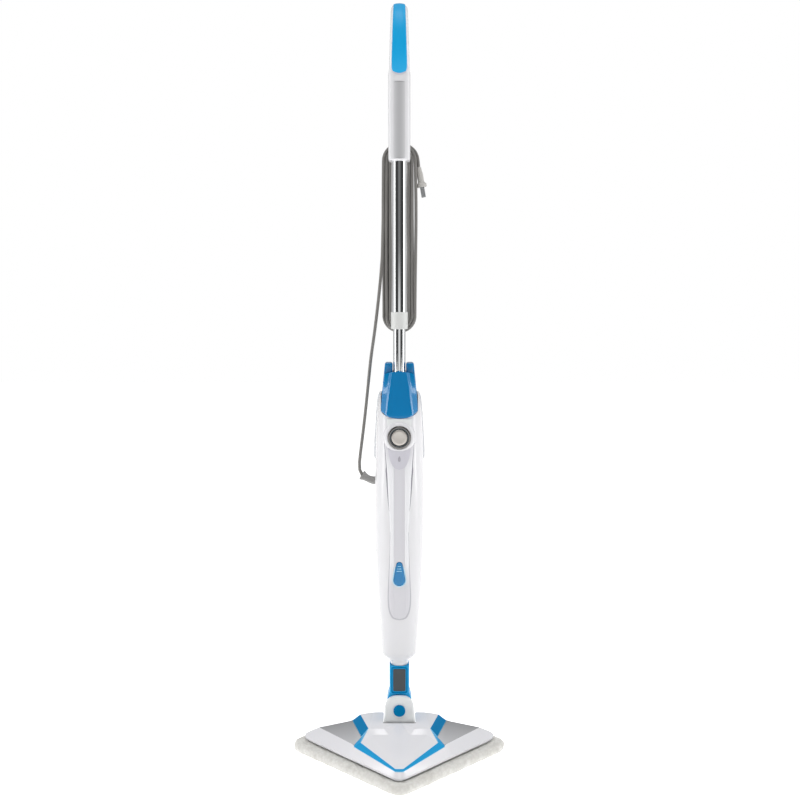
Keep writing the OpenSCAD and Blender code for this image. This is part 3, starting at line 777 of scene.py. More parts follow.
FINISHES = (
    # Glossy white ABS from a polished mould: clean, bright and slightly cool
    MouldedPlastic("gloss_white_abs", "#e4e3e7", "#dededf", 0.22, 5.0, 0.006, 0.3),
    # The same ABS on the head, painted slightly brighter than on the body: painted light
    MouldedPlastic("head_white_abs", "#efeef2", "#e9e9ec", 0.22, 5.0, 0.006, 0.3),
    # White ABS of the joint, a little greyer and less glossy than the casings
    MouldedPlastic("satin_pale_abs", "#eceeee", "#e4e6e6", 0.36, 1.6, 0.01),
    # Pale grey ABS of the collar between the tubes: satin
    MouldedPlastic("collar_grey_abs", "#dadbd9", "#d2d3d1", 0.36, 1.6, 0.01),
    # Bright blue ABS with a polished surface: mirrors the room along its edges
    MouldedPlastic("gloss_blue_abs", "#007cb8", "#0076b0", 0.14, 5.0, 0.004, 0.5, 1.4),
    # Lighter blue ABS of the neck and the front strip: satin
    MouldedPlastic("sky_blue_abs", "#12a0dc", "#0f99d3", 0.3, 1.6, 0.004, 0.0, 1.3),
    # Dark line round the windows: the gap between two mouldings
    MouldedPlastic("gap_grey_abs", "#6f7073", "#67686b", 0.5, 1.2, 0.006),
    # Blue ABS of the head's strips: the same colour, satin, with little reflection. On the frame
    # round the release button it is a painted shade of the gap round the button
    MouldedPlastic("satin_blue_abs", "#007bb2", "#0076ab", 0.34, 1.6, 0.004, 0.0, 1.1),
    # Soft blue rubber moulded over the handle: matt, with a fine grain
    MouldedPlastic("soft_blue_rubber", "#0aa8e2", "#089ed8", 0.42, 0.9, 0.012, 0.0, 1.38),
    # Silver-grey paint on ABS: satin, even and slightly violet. The ridge mask paints the inlay's
    # raised ridges lighter: a painted highlight
    MouldedPlastic("silver_painted_abs", "#d6d5da", "#ececef", 0.34, 1.2, 0.006, 0.1, mask="ridge"),
    # Mid-grey satin ABS of the windows in the head's wings, painted darker towards the rear by the
    # mask: painted shade
    MouldedPlastic("satin_grey_abs", "#9b9b9d", "#c9c9cb", 0.34, 1.4, 0.002, 0.0, mask="fall"),
    # Lighter satin ABS of the handle's long panel, painted darker in the middle and lighter to its
    # sides by the mask: painted shade of its hollow face
    MouldedPlastic("panel_grey_abs", "#b3b3b5", "#d3d3d5", 0.34, 1.4, 0.003, 0.0, mask="fall"),
    # Charcoal ABS of the release button and the seams' shadow lines
    MouldedPlastic("satin_charcoal_abs", "#3f464b", "#3a4044", 0.38, 1.2, 0.012, 0.0, 1.45),
    # Grey line of the inlay's seam: matt, so that it reads as a groove. It is the joint with the
    # groove's shade painted in, and the depth mask paints it darker towards the top: painted shade
    MouldedPlastic("matt_seam_grey", "#bdbcc2", "#8b8a92", 0.6, 1.2, 0.01, mask="depth"),
    # Frosted polypropylene of the water tank: milky white with a soft gloss
    MouldedPlastic("frosted_tank_pp", "#eceef0", "#e4e7ea", 0.3, 2.0, 0.01, 0.1, 1.49),
    # Grey PVC of the cord: satin, slightly uneven along its length
    MouldedPlastic("cord_grey_pvc", "#807e7b", "#706e6b", 0.45, 1.5, 0.02, 0.0, 1.52),
    # Paler PVC of the plug
    MouldedPlastic("plug_grey_pvc", "#bfbdb9", "#b2b0ac", 0.45, 1.2, 0.02, 0.0, 1.52),
    # Grey PVC of the strain relief
    MouldedPlastic("relief_grey_pvc", "#969594", "#8c8b89", 0.5, 1.2, 0.02, 0.0, 1.52),
    # Black nylon hook tape: matt and rough
    MouldedPlastic("black_hook_tape", "#35373a", "#2b2d2f", 0.9, 0.6, 0.2),
    # Clear hose, milky from its thickness
    MouldedPlastic("milky_hose", "#dfe4e6", "#d3d9db", 0.25, 2.0, 0.01),
    # Black nitrile rubber of the seal
    MouldedPlastic("seal_rubber", "#333435", "#292a2b", 0.6, 0.8, 0.02, 0.0, 1.5),
    # Green solder mask of the board
    MouldedPlastic("green_board", "#2c6b3e", "#255c35", 0.3, 1.5, 0.02),
    # Pale lens of the indicator
    MouldedPlastic("indicator_lens", "#a7a4ad", "#9c99a2", 0.2, 3.0, 0.004, 0.4),
    # Light blue of the raised ribs and of the rim round the steam button; on the rounded edges of
    # the head's blue strips it is a painted highlight
    MouldedPlastic("pale_blue_abs", "#9fdcf6", "#8fd3f0", 0.25, 3.0, 0.004, 0.3),
    # Pale ring round the steam button's opening: a painted highlight of its glossy rounded rim
    MouldedPlastic("ice_blue_rim", "#b9e6fa", "#abdff7", 0.25, 3.0, 0.004, 0.3),
    # Darker silver paint of the shield above the inlay's channel; on the crescent under the grip it
    # is a painted shade of the step there
    MouldedPlastic("violet_silver_paint", "#cfced6", "#c9c7d0", 0.36, 1.2, 0.006, 0.1),
    # Chromed steel tube: mirror-bright, with faint lines from drawing
    Metal("chromed_steel_tube", "#e6e8e9", 0.07, 0.5, 120.0, 0.0006),
    # Turned steel of pins, screws and springs
    Metal("turned_steel", "#c2c4c6", 0.28, 0.5, 2.0, 0.003),
    # Satin anodised face of the power button
    Metal("satin_anodised_metal", "#c9c4be", 0.42, 0.25, 0.25, 0.002),
    # Dark nickel ring round the power button
    Metal("dark_nickel_ring", "#7a7876", 0.2, 0.4, 10.0, 0.001),
    # Die-cast aluminium of the boiler: dull, with a coarse skin
    Metal("cast_aluminium", "#a9abad", 0.5, 1.5, 1.5, 0.03),
    # Undyed microfibre of the pad
    Pile("ivory_microfibre", "#ecebe7", "#dbd9d3"),
)


def make_finishes() -> dict[str, bpy.types.Material]:
    """Builds every material once, by its name."""
    return {finish.name: finish.make() for finish in FINISHES}


# ---- studio -----------------------------------------------------------------------------------


@dataclass
class Studio:
    """Camera, lights, backdrop light and floor."""

    eye: tuple[float, float, float] = (0.001, -1.400, 0.737)
    tilt: float = 83.2
    lens: float = 40.6
    floor_size: float = 12.0
    floor_glow: float = 0.58
    bright: float = 0.85
    dim: float = 0.06
    sides: tuple[float, ...] = (1.02, 1.38, 0.0, 1.0)
    back: tuple[float, ...] = (1.95, 2.35, 1.0, 0.55)
    ahead: tuple[float, ...] = (0.26, 0.36, 1.0, 0.0)
    ahead_low: tuple[float, ...] = (-0.03, 0.06, 1.0, 0.18)
    overhead: tuple[float, ...] = (0.78, 0.95, 0.0, 1.0)
    underfoot: tuple[float, ...] = (-0.55, -0.3, 1.0, 0.0)
    lights: list[tuple[tuple[float, float, float], tuple[float, float], float]] = field(
        default_factory=lambda: [
            ((-1.6, -0.32, 0.75), (0.28, 1.8), 7.0),
            ((1.6, -0.32, 0.75), (0.28, 1.8), 6.5),
            ((0.0, -1.3, 3.4), (1.8, 1.4), 36.0),
        ])

    def camera(self) -> None:
        """Makes the camera at the eye and gives it to the scene."""
        data = bpy.data.cameras.new("camera")
        data.lens = self.lens
        data.sensor_width = 36.0
        camera = bpy.data.objects.new("camera", data)
        camera.location = self.eye
        camera.rotation_euler = (math.radians(self.tilt), 0.0, 0.0)
        bpy.context.scene.collection.objects.link(camera)
        bpy.context.scene.camera = camera

    def lamps(self) -> None:
        """Makes the soft lights, each aimed at the middle of the mop."""
        for number, (spot, size, power) in enumerate(self.lights):
            data = bpy.data.lights.new(f"softbox_{number}", "AREA")
            data.shape = "RECTANGLE"
            data.size, data.size_y = size
            data.energy = power
            lamp = bpy.data.objects.new(f"softbox_{number}", data)
            lamp.location = spot
            aim = np.array([0.0, 0.0, 0.75 if spot[2] < 1 else 0.55]) - np.array(spot)
            across = math.atan2(-aim[0], -aim[1])
            down = math.atan2(math.hypot(aim[0], aim[1]), -aim[2])
            lamp.rotation_euler = (down, 0.0, math.pi - across)
            bpy.context.scene.collection.objects.link(lamp)

    def room(self) -> None:
        """Makes the light of the room: white all round, dimmer in front of the mop.

        The room is dark between 18 and 69 degrees to each side of the front, and straight
        ahead above eye level, as in a studio whose near side isn't lit. That gives the tubes
        and the gloss plastic their dark bands. The backdrop itself is white. Each ramp is
        (from, to, level before, level after), over the turn from the front or the height.
        """
        world = bpy.data.worlds.new("studio_room")
        bpy.context.scene.world = world
        world.use_nodes = True
        tree = world.node_tree
        tree.nodes.clear()
        way = add_node(tree, "ShaderNodeTexCoord").outputs["Generated"]
        part = add_node(tree, "ShaderNodeSeparateXYZ", {0: way})
        x, y, z = part.outputs
        side = add_node(tree, "ShaderNodeMath", {0: x}, operation="ABSOLUTE").outputs[0]
        front = add_node(tree, "ShaderNodeMath", {0: y, 1: -1.0}, operation="MULTIPLY").outputs[0]
        turn = add_node(tree, "ShaderNodeMath", {0: side, 1: front}, operation="ARCTAN2").outputs[0]
        ramps = [(turn, *self.sides), (turn, *self.back), (turn, *self.ahead), (z, *self.ahead_low),
                 (z, *self.overhead), (z, *self.underfoot)]
        wide, back, middle, below, high, low = (
            add_node(tree, "ShaderNodeMapRange", dict(enumerate(ramp)),
                     interpolation_type="SMOOTHSTEP").outputs[0] for ramp in ramps)
        ahead, lit = (
            add_node(tree, "ShaderNodeMath", {0: one, 1: other}, operation="MULTIPLY").outputs[0]
            for one, other in ((middle, below), (wide, back)))
        for more in (ahead, high, low):
            lit = add_node(tree, "ShaderNodeMath", {0: lit, 1: more},
                           operation="MAXIMUM").outputs[0]
        level = add_node(tree, "ShaderNodeMapRange",
                         {0: lit, 3: self.dim, 4: self.bright}).outputs[0]
        shown = add_node(tree, "ShaderNodeLightPath").outputs["Is Camera Ray"]
        light = add_node(tree, "ShaderNodeBackground", {0: (1.0, 1.0, 1.0, 1.0), 1: level})
        drop = add_node(tree, "ShaderNodeBackground", {0: (1.0, 1.0, 1.0, 1.0), 1: 1.0})
        both = add_node(tree, "ShaderNodeMixShader",
                        {0: shown, 1: light.outputs[0], 2: drop.outputs[0]})
        add_node(tree, "ShaderNodeOutputWorld", {0: both.outputs[0]})

    def floor(self) -> None:
        """Makes the plain pale floor."""
        half = self.floor_size / 2
        mesh = bpy.data.meshes.new("studio_floor")
        corners = [(-half, -half, -0.0005), (half, -half, -0.0005), (half, half, -0.0005),
                   (-half, half, -0.0005)]
        mesh.from_pydata(corners, [], [(0, 1, 2, 3)])
        mat, tree = new_material("white_floor")
        shader = add_node(tree, "ShaderNodeBsdfPrincipled",
                          {"Base Color": (0.97, 0.97, 0.97, 1.0), "Roughness": 0.9,
                           "Emission Color": (1.0, 1.0, 1.0, 1.0),
                           "Emission Strength": self.floor_glow})
        add_node(tree, "ShaderNodeOutputMaterial", {0: shader.outputs[0]})
        mesh.materials.append(mat)
        obj = bpy.data.objects.new("studio_floor", mesh)
        bpy.context.scene.collection.objects.link(obj)

    def build(self) -> None:
        """Makes everything but the camera."""
        bpy.context.scene.view_settings.view_transform = "Standard"
        self.room()
        self.lamps()
        self.floor()


# ---- cord -------------------------------------------------------------------------------------


@dataclass
class CordRun(Assembly):
    """Mains cord: strain relief, free stretch, hank on the two hooks, tail and plug."""

    diameter: float = 5.0
    length_m: float = 5.9
    relief: Stations = field(default_factory=lambda: [
        (-34, 12, 439.5), (-41, 12, 440), (-46, 12, 441.2), (-50, 12, 443), (-53, 12, 444.6),
        (-56.5, 12, 446.6), (-59, 12, 448.1), (-59.8, 12, 448.6)])
    relief_r: tuple[float, ...] = (6.4, 6.2, 5.7, 5.4, 5.7, 6.7, 7.7, 7.4)
    route: Stations = field(default_factory=lambda: [
        (-58, 12, 446), (-61.5, 12, 452), (-63.3, 12.5, 459), (-63.5, 13, 467), (-62, 14, 482),
        (-59.5, 16, 502), (-55, 19, 539), (-50, 21, 586), (-45, 22, 633), (-39, 22, 675),
        (-33, 21.3, 724), (-29, 20.9, 762), (-26.6, 20.9, 792)])
    tail: Stations = field(default_factory=lambda: [
        (-12, 36.2, 960), (-5, 35.8, 963.5), (3, 35, 965), (11, 33.7, 963.5), (18.5, 32, 959),
        (24.5, 30, 952.5), (28, 28.3, 944), (29.3, 27, 935), (29.8, 26.4, 929)])
    bottom: float = 698.5
    top: float = 938.0
    columns: tuple[float, ...] = (20.9, 26.0, 31.1, 36.2)
    radii: tuple[float, ...] = (24.4, 19.4, 14.4)
    turns: tuple[tuple[int, int], ...] = (
        (0, 0), (0, 1), (0, 2), (1, 2), (1, 1), (2, 1), (2, 2), (3, 2), (3, 1), (3, 0))
    plug_top: tuple[float, float, float] = (29.8, 26.4, 929)
    plug_tilt: float = 10.0

    def turn(self, number: int) -> np.ndarray:
        """One turn of the hank: up the left, over the top, down the right, round the bottom.

        The radius and the column change along the bottom bend to those of the next turn.
        Each side bows out by a millimetre or so, differently in each turn.

        Args:
            number: which turn, from 0.

        Returns:
            Array (points, 3).
        """
        column, row = self.turns[number]
        after = self.turns[min(number + 1, len(self.turns) - 1)]
        y, r = self.columns[column], self.radii[row]
        y2, r2 = self.columns[after[0]], self.radii[after[1]]
        straight = np.linspace(0, 1, 9)[:-1]
        bend = np.linspace(0, 1, 17)[:-1]
        bow = np.sin(math.pi * straight)
        sway = np.sin(2 * math.pi * straight)
        left_bow = 0.5 + 0.9 * math.sin(2.1 * number + 0.4)
        right_bow = 0.4 + 0.9 * math.sin(1.7 * number + 2.0)
        span = self.top - self.bottom
        left = np.stack([-r - left_bow * bow + 0.5 * math.sin(3.3 * number) * sway,
                         y + 0.4 * math.sin(1.3 * number) * sway,
                         self.bottom + span * straight], 1)
        over = np.stack([-r * np.cos(math.pi * bend), np.full(16, y),
                         self.top + r * np.sin(math.pi * bend)], 1)
        right = np.stack([r + right_bow * bow + 0.5 * math.sin(2.3 * number + 1) * sway,
                          y + 0.4 * math.sin(1.9 * number + 2) * sway,
                          self.top - span * straight], 1)
        rr = r + (r2 - r) * bend
        under = np.stack([rr * np.cos(math.pi * bend), y + (y2 - y) * bend,
                          self.bottom - rr * np.sin(math.pi * bend)], 1)
        return np.vstack([left, over, right, under])

    def line(self) -> np.ndarray:
        """Centreline of the whole cord, from the strain relief's mouth to the plug.

        Returns:
            Array (points, 3).
        """
        turns = [self.turn(i) for i in range(len(self.turns) - 1)]
        turns[0] = turns[0][5:]
        free = line_through(self.route, 12.0)
        y, r = self.columns[3], self.radii[0]
        up = np.column_stack([np.full(6, -r), np.full(6, y),
                              np.linspace(self.bottom, self.top - 15, 6)])
        a = np.radians(np.linspace(0, 52, 8))
        bend = np.column_stack([-r * np.cos(a), np.full(8, y), self.top + r * np.sin(a)])
        return np.vstack([free, *turns, up, bend, line_through(self.tail, 4.0)])

    def build(self) -> None:
        line = self.line()
        data = bpy.data.curves.new("power_cord_run", "CURVE")
        data.dimensions = "3D"
        data.bevel_depth = self.diameter / 2 * MM
        data.bevel_resolution = 3
        data.use_fill_caps = True
        spline = data.splines.new("POLY")
        spline.points.add(len(line) - 1)
        spline.points.foreach_set("co", np.column_stack([line * MM, np.ones(len(line))]).ravel())
        spline.use_smooth = True
        cord = bpy.data.objects.new("power_cord_run", data)
        bpy.context.scene.collection.objects.link(cord)
        self.add(cord, Body.UPRIGHT, "cord_pvc", "cord_grey_pvc",
                     "power_cord", "cord_hank", "cord_tail")
        plug = self.plug()
        real = float(np.linalg.norm(np.diff(line, axis=0), axis=1).sum()) * MM
        LOG.info("cord line is %.3f m", real)
        relief = np.array(self.relief, float)
        run = np.arange(len(relief), dtype=float)
        fine = through(np.column_stack([run, relief, self.relief_r]), np.linspace(0, run[-1], 40))
        form = sweep(fine[:, :3], fine[:, 3], 24)
        boot = make_object("cord_relief", form, 50)
        bevel(boot, 0.5, 40)
        self.add(boot, Body.UPRIGHT, "plug_pvc", "relief_grey_pvc", "strain_relief")

    def plug(self) -> bpy.types.Object:
        """Makes the plug: a boot, a body with finger ribs, and a flange.

        Returns:
            The plug.
        """
        profile = [(0, 0), (3.1, 0), (3.5, 0.5), (4.1, 7), (4.7, 8.5), (4.6, 11), (5.0, 12),
                   (4.6, 13),
                   (5.0, 14.5), (4.6, 15.5), (5.0, 17), (4.6, 18), (4.7, 22), (5.6, 24.4),
                   (7.1, 25.2),
                   (7.5, 26), (7.5, 30), (7.0, 30.8), (0, 31)]
        form = revolve(profile, (0, 0, 0), Facing.TOP, 40)
        tilt = math.radians(180 - self.plug_tilt)
        turn = np.array([[math.cos(tilt), 0, math.sin(tilt)], [0, 1, 0],
                         [-math.sin(tilt), 0, math.cos(tilt)]])
        form.points = form.points @ turn.T + np.array(self.plug_top)
        plug = make_object("mains_plug_body", form, 45)
        return self.add(plug, Body.UPRIGHT, "plug_pvc", "plug_grey_pvc", "plug")


# ---- pad -------------------------------------------------------------------------------------


@dataclass
class MopPad(Assembly):
    """Microfibre pad: a thick shield of pile whose edge curls up round the head's deck."""

    height: float = 15.0
    rim: float = 6.0
    foot_rim: float = 2.5
    tuft: float = 0.6
    seed: int = 7

    def outline(self) -> np.ndarray:
        """Closed outline of the pad, evenly spaced and anticlockwise from above.

        Returns:
            Array (380, 2).
        """
        right = np.vstack([
            arc((0, -127), 25, -90, -50, 7), arc((151, -10), 20, -48, 70, 13),
            [(118, 24), (60, 37)]])
        half = cut_corners(np.vstack([right, [(0, 45)]]), 14, 3)
        return even(np.vstack([half, half[-2:0:-1] * (-1, 1)]), 380)

    @staticmethod
    def loose(spot: np.ndarray) -> np.ndarray:
        """Share of a point's tuft that shows: none under the head's deck, all outside it.

        The deck's edge is taken as the two straight sides of its shield: a point is
        outside by the greater of its distances past the side, the rear and the wings.

        Args:
            spot: places in millimetres.

        Returns:
            Array of shares from 0 to 1.
        """
        x, y = np.abs(spot[:, 0]), spot[:, 1]
        past = np.maximum.reduce([(x * 104 - (y + 118) * 120 - 1040) / 159, y - 26, x - 138])
        return np.clip((past + 2) / 6, 0, 1)

    def build(self) -> None:
        """Rings run from the middle of the top out over the rounded edge and in again under
        the pad. Inset and height of the edge follow a flattened circle. The form is then
        plumped as cloth, and each point is moved along its normal by a tufted noise made of
        a few crossed waves with seeded phases.
        """
        outline = self.outline()
        out = outward(outline)
        centre = np.array([0.0, -45.0])
        last = outline - out * self.rim
        sole = outline - out * self.foot_rim
        face = np.array([0.02, 0.15, 0.3, 0.45, 0.6, 0.72, 0.82, 0.9, 0.95, 0.98])
        top = np.array([centre + (last - centre) * k for k in face])
        a = np.linspace(math.pi / 2, -math.pi / 2, 17)
        rim_in = np.where(a > 0, self.rim, self.foot_rim) * (1 - np.cos(a) ** 0.8)
        rim_z = self.height / 2 + self.height / 2 * np.sin(a)
        rim = outline[None] - out[None] * rim_in[:, None, None]
        under = np.array([centre + (sole - centre) * k for k in face[::-1]])
        flat = np.concatenate([top, rim, under])
        dip = 3.6 * (1 - face ** 8)
        z = np.concatenate([self.height - dip, rim_z, np.zeros(len(face))])
        points = np.concatenate([flat, np.broadcast_to(z[:, None, None], flat.shape[:2] + (1,))],
                                -1)
        pad = make_object("microfibre_pad", ring_stack(points), 180)
        swell(pad, np.array([(-140, -122, 2), (140, 31, 40)], float), 1.2)
        spot = spots(pad)
        normal = np.empty(spot.size)
        pad.data.vertices.foreach_get("normal", normal)
        rng = np.random.default_rng(self.seed)
        waves = rng.normal(0, 1, (26, 3))
        waves *= (2 * math.pi / rng.uniform(5, 16, 26) / np.linalg.norm(waves, axis=1))[:, None]
        lift = np.sin(spot @ waves.T + rng.uniform(0, 6.28, 26)).sum(-1) / 5.0
        free = np.clip((spot[:, 2] - 0.5) / 3, 0, 1) * self.loose(spot)
        spot += normal.reshape(-1, 3) * (lift * free * self.tuft)[:, None]
        spot[:, 2] = np.maximum(spot[:, 2], 0.0)
        pad.data.vertices.foreach_set("co", (spot * MM).ravel())
        pad.data.shade_smooth()
        self.add(pad, Body.HEAD, "pad_fabric", "ivory_microfibre", "mop_pad")


# ---- head -------------------------------------------------------------------------------------


@dataclass
class MopHead(Assembly):
    """Head's casing: skirt, cover, blue trims and windows, each a moulded plate."""

    skirt_z: float = 18.0
    foot: Stations = field(default_factory=lambda: [
        (27, 34.3), (42, 32.2), (66, 28.9), (80, 27), (131, 20), (148, 14), (155, 3), (152, -8),
        (145, -15), (81, -70), (75, -75.2), (10, -131), (5, -134.6), (0, -136)])
    brow: Stations = field(default_factory=lambda: [
        (27, 14, 51), (42, 14, 51), (64.5, 15, 47), (77.5, 17.5, 35), (129.5, 12.6, 26),
        (131, 12.2, 26), (131.6, 11.2, 26), (131, 10.2, 26), (129.8, 9.6, 26), (71, -57, 31.5),
        (71.5, -62, 30.5), (6.3, -128, 26), (3, -128.6, 26), (0, -128.8, 26)])
    notch: float = 25.8
    notch_front: float = -24.0
    cover_z: float = 51.0
    window_low: tuple[float, float, float] = (71, -57, 31.5)
    window_in: tuple[float, float, float] = (60, -44, 38)
    trim_low: tuple[float, float, float] = (49, -40, 50)
    trim_out: tuple[float, float, float] = (77.5, 17.5, 35)
    trim_in: tuple[float, float, float] = (64.5, 15, 47)
    strip_out: tuple[float, float, float] = (71.5, -62, 30.5)
    corner: tuple[float, float, float] = (60.5, -60, 37)
    front: tuple[float, float, float] = (6, -124, 29)
    tip: tuple[float, float, float] = (0, -124.3, 29)

    @staticmethod
    def plate(points: Stations, faces: list[list[int]], edge: list[int], thick: float,
              both: bool = False) -> Form:
        """Plate of flat facets with a copy of itself below, and walls along its edge.

        Args:
            points: corners of the facets.
            faces: corners of each facet.
            edge: corners along the outside, in order.
            thick: how far down the copy lies.
            both: True to add the mirror image, joined along x = 0.

        Returns:
            The closed form.
        """
        p = np.array(points, float)
        n = len(p)
        low = p - (0, 0, thick)
        pairs = list(zip(edge, edge[1:] + edge[:1]))
        walls = [[i, j, j + n, i + n] for i, j in pairs
                 if not (both and abs(p[i, 0]) < 1e-6 and abs(p[j, 0]) < 1e-6)]
        under = [[i + n for i in face[::-1]] for face in faces]
        form = Form(np.vstack([p, low]), [list(f) for f in faces] + under + walls)
        return form + form.mirrored() if both else form

    def skirt(self) -> Form:
        """Band round the head, ruled from its foot to its brow, 3 mm thick, corners rounded.

        Returns:
            The closed form.
        """
        foot = np.column_stack([np.array(self.foot, float), np.full(len(self.foot), self.skirt_z)])
        pairs = cut_corners(np.hstack([foot, np.array(self.brow, float)]), 5, 2)
        low, high = pairs[:, :3], pairs[:, 3:]
        mid = (low + high) / 2 + (0, 0, 0.5)
        rows = np.array([low, low + (0, 0, 0.8), mid, high])
        inner = rows - (0, 0, 3.0)
        inner[0, :, :2] = low[:, :2] * 0.985
        inner[0, :, 2] = self.skirt_z
        half = shell(rows, inner)
        keep = np.abs(half.points[:, 0]) > 1e-6
        half.faces = [f for f in half.faces if keep[f].any()]
        return half + half.mirrored()

    def cover(self) -> Form:
        """Faceted cover round the notch of the yoke.

        Returns:
            The closed form.
        """
        points = [self.trim_in, (42, 14, self.cover_z), (self.notch, 14, self.cover_z),
                  (self.notch, self.notch_front, self.cover_z), self.trim_low, self.corner,
                  self.front, self.tip, (0, self.notch_front, self.cover_z),
                  (17, -49, 43.6), (24, -41.5, 50.2), (7, -100, 34.3), (0, -49, 44.8),
                  (0, -100, 34.2),
                  (43, -48.5, 43.5)]
        faces = [[0, 4, 1], [1, 4, 3], [1, 3, 2], [3, 4, 10], [10, 4, 14], [10, 14, 9], [4, 5, 14],
                 [14, 5, 6], [14, 6, 11], [14, 11, 9], [8, 3, 10], [8, 10, 9], [8, 9, 12],
                 [12, 9, 11, 13], [13, 11, 6], [13, 6, 7]]
        edge = [0, 4, 5, 6, 7, 13, 12, 8, 3, 2, 1]
        return self.plate(points, faces, edge, 2.2, True)

    def strip(self) -> Form:
        """Blue V strip between the cover and the skirt.

        Returns:
            The closed form.
        """
        points = [self.strip_out, self.window_low, self.window_in, self.trim_low, self.corner,
                  self.front, self.tip, self.brow[13], self.brow[12], self.brow[11]]
        faces = [[0, 1, 4], [1, 2, 4], [2, 3, 4], [0, 4, 5, 9], [9, 5, 8], [8, 5, 6, 7]]
        return self.plate(points, faces, [0, 9, 8, 7, 6, 5, 4, 3, 2, 1], 2.2, True)

    def side_trim(self) -> Form:
        """Blue strip beside the cover."""
        points = [self.trim_low, self.window_in, self.trim_out, self.trim_in]
        return self.plate(points, [[0, 2, 3], [0, 1, 2]], [0, 1, 2, 3], 2.2)

    def window(self) -> Form:
        """Grey panel in the wing.

        Returns:
            The closed form.
        """
        points = [*self.brow[9:3:-1], self.trim_out, self.window_in]
        faces = [[6, 7, 0], [6, 0, 1], [6, 1, 5], [1, 2, 3, 4, 5]]
        return self.plate(points, faces, [7, 0, 1, 2, 3, 4, 5, 6], 2.2)

    def build(self) -> None:
        """Makes the casing."""
        # The head's white is the body's ABS painted lighter: painted light.
        white = "head_white_abs"
        # pale paints a highlight on the blue strips' rounded edges; gap is the dark joint round the
        # windows.
        pale, gap = self.finish["pale_blue_abs"], self.finish["gap_grey_abs"]
        skirt = make_object("skirt_band", self.skirt(), 28)
        bevel(skirt, 0.9, 30)
        self.add(skirt, Body.HEAD, "white_plastic", white, "head_skirt")
        cover = make_object("faceted_cover", self.cover(), 12)
        bevel(cover, 1.2, 5)
        self.add(cover, Body.HEAD, "white_plastic", white, "head_cover")
        strip = make_object("front_strip", self.strip(), 12)
        self.add(strip, Body.HEAD, "blue_plastic", "sky_blue_abs", "front_trim")
        bevel(strip, 0.6, 40, 3, pale)
        for hand, form, pane in (("right", self.side_trim(), self.window()),
                                 ("left", self.side_trim().mirrored(), self.window().mirrored())):
            trim = make_object(f"side_strip_{hand}", form, 20)
            self.add(trim, Body.HEAD, "blue_plastic", "satin_blue_abs", f"trim_{hand}")
            bevel(trim, 0.6, 40, 3, pale)
            pane.points[:, 2] -= 0.5
            glass = make_object(f"wing_panel_{hand}", pane, 50)
            # Painted shade: the window is painted darker towards the rear.
            fall = np.interp(spots(glass)[:, 1], [-50, 14], [1, 0])
            mark(glass, "fall", fall)
            self.add(glass, Body.HEAD, "silver_plastic", "satin_grey_abs",
                     f"window_{hand}")
            bevel(glass, 0.8, 40, 3, gap)


# ---- joint ------------------------------------------------------------------------------------


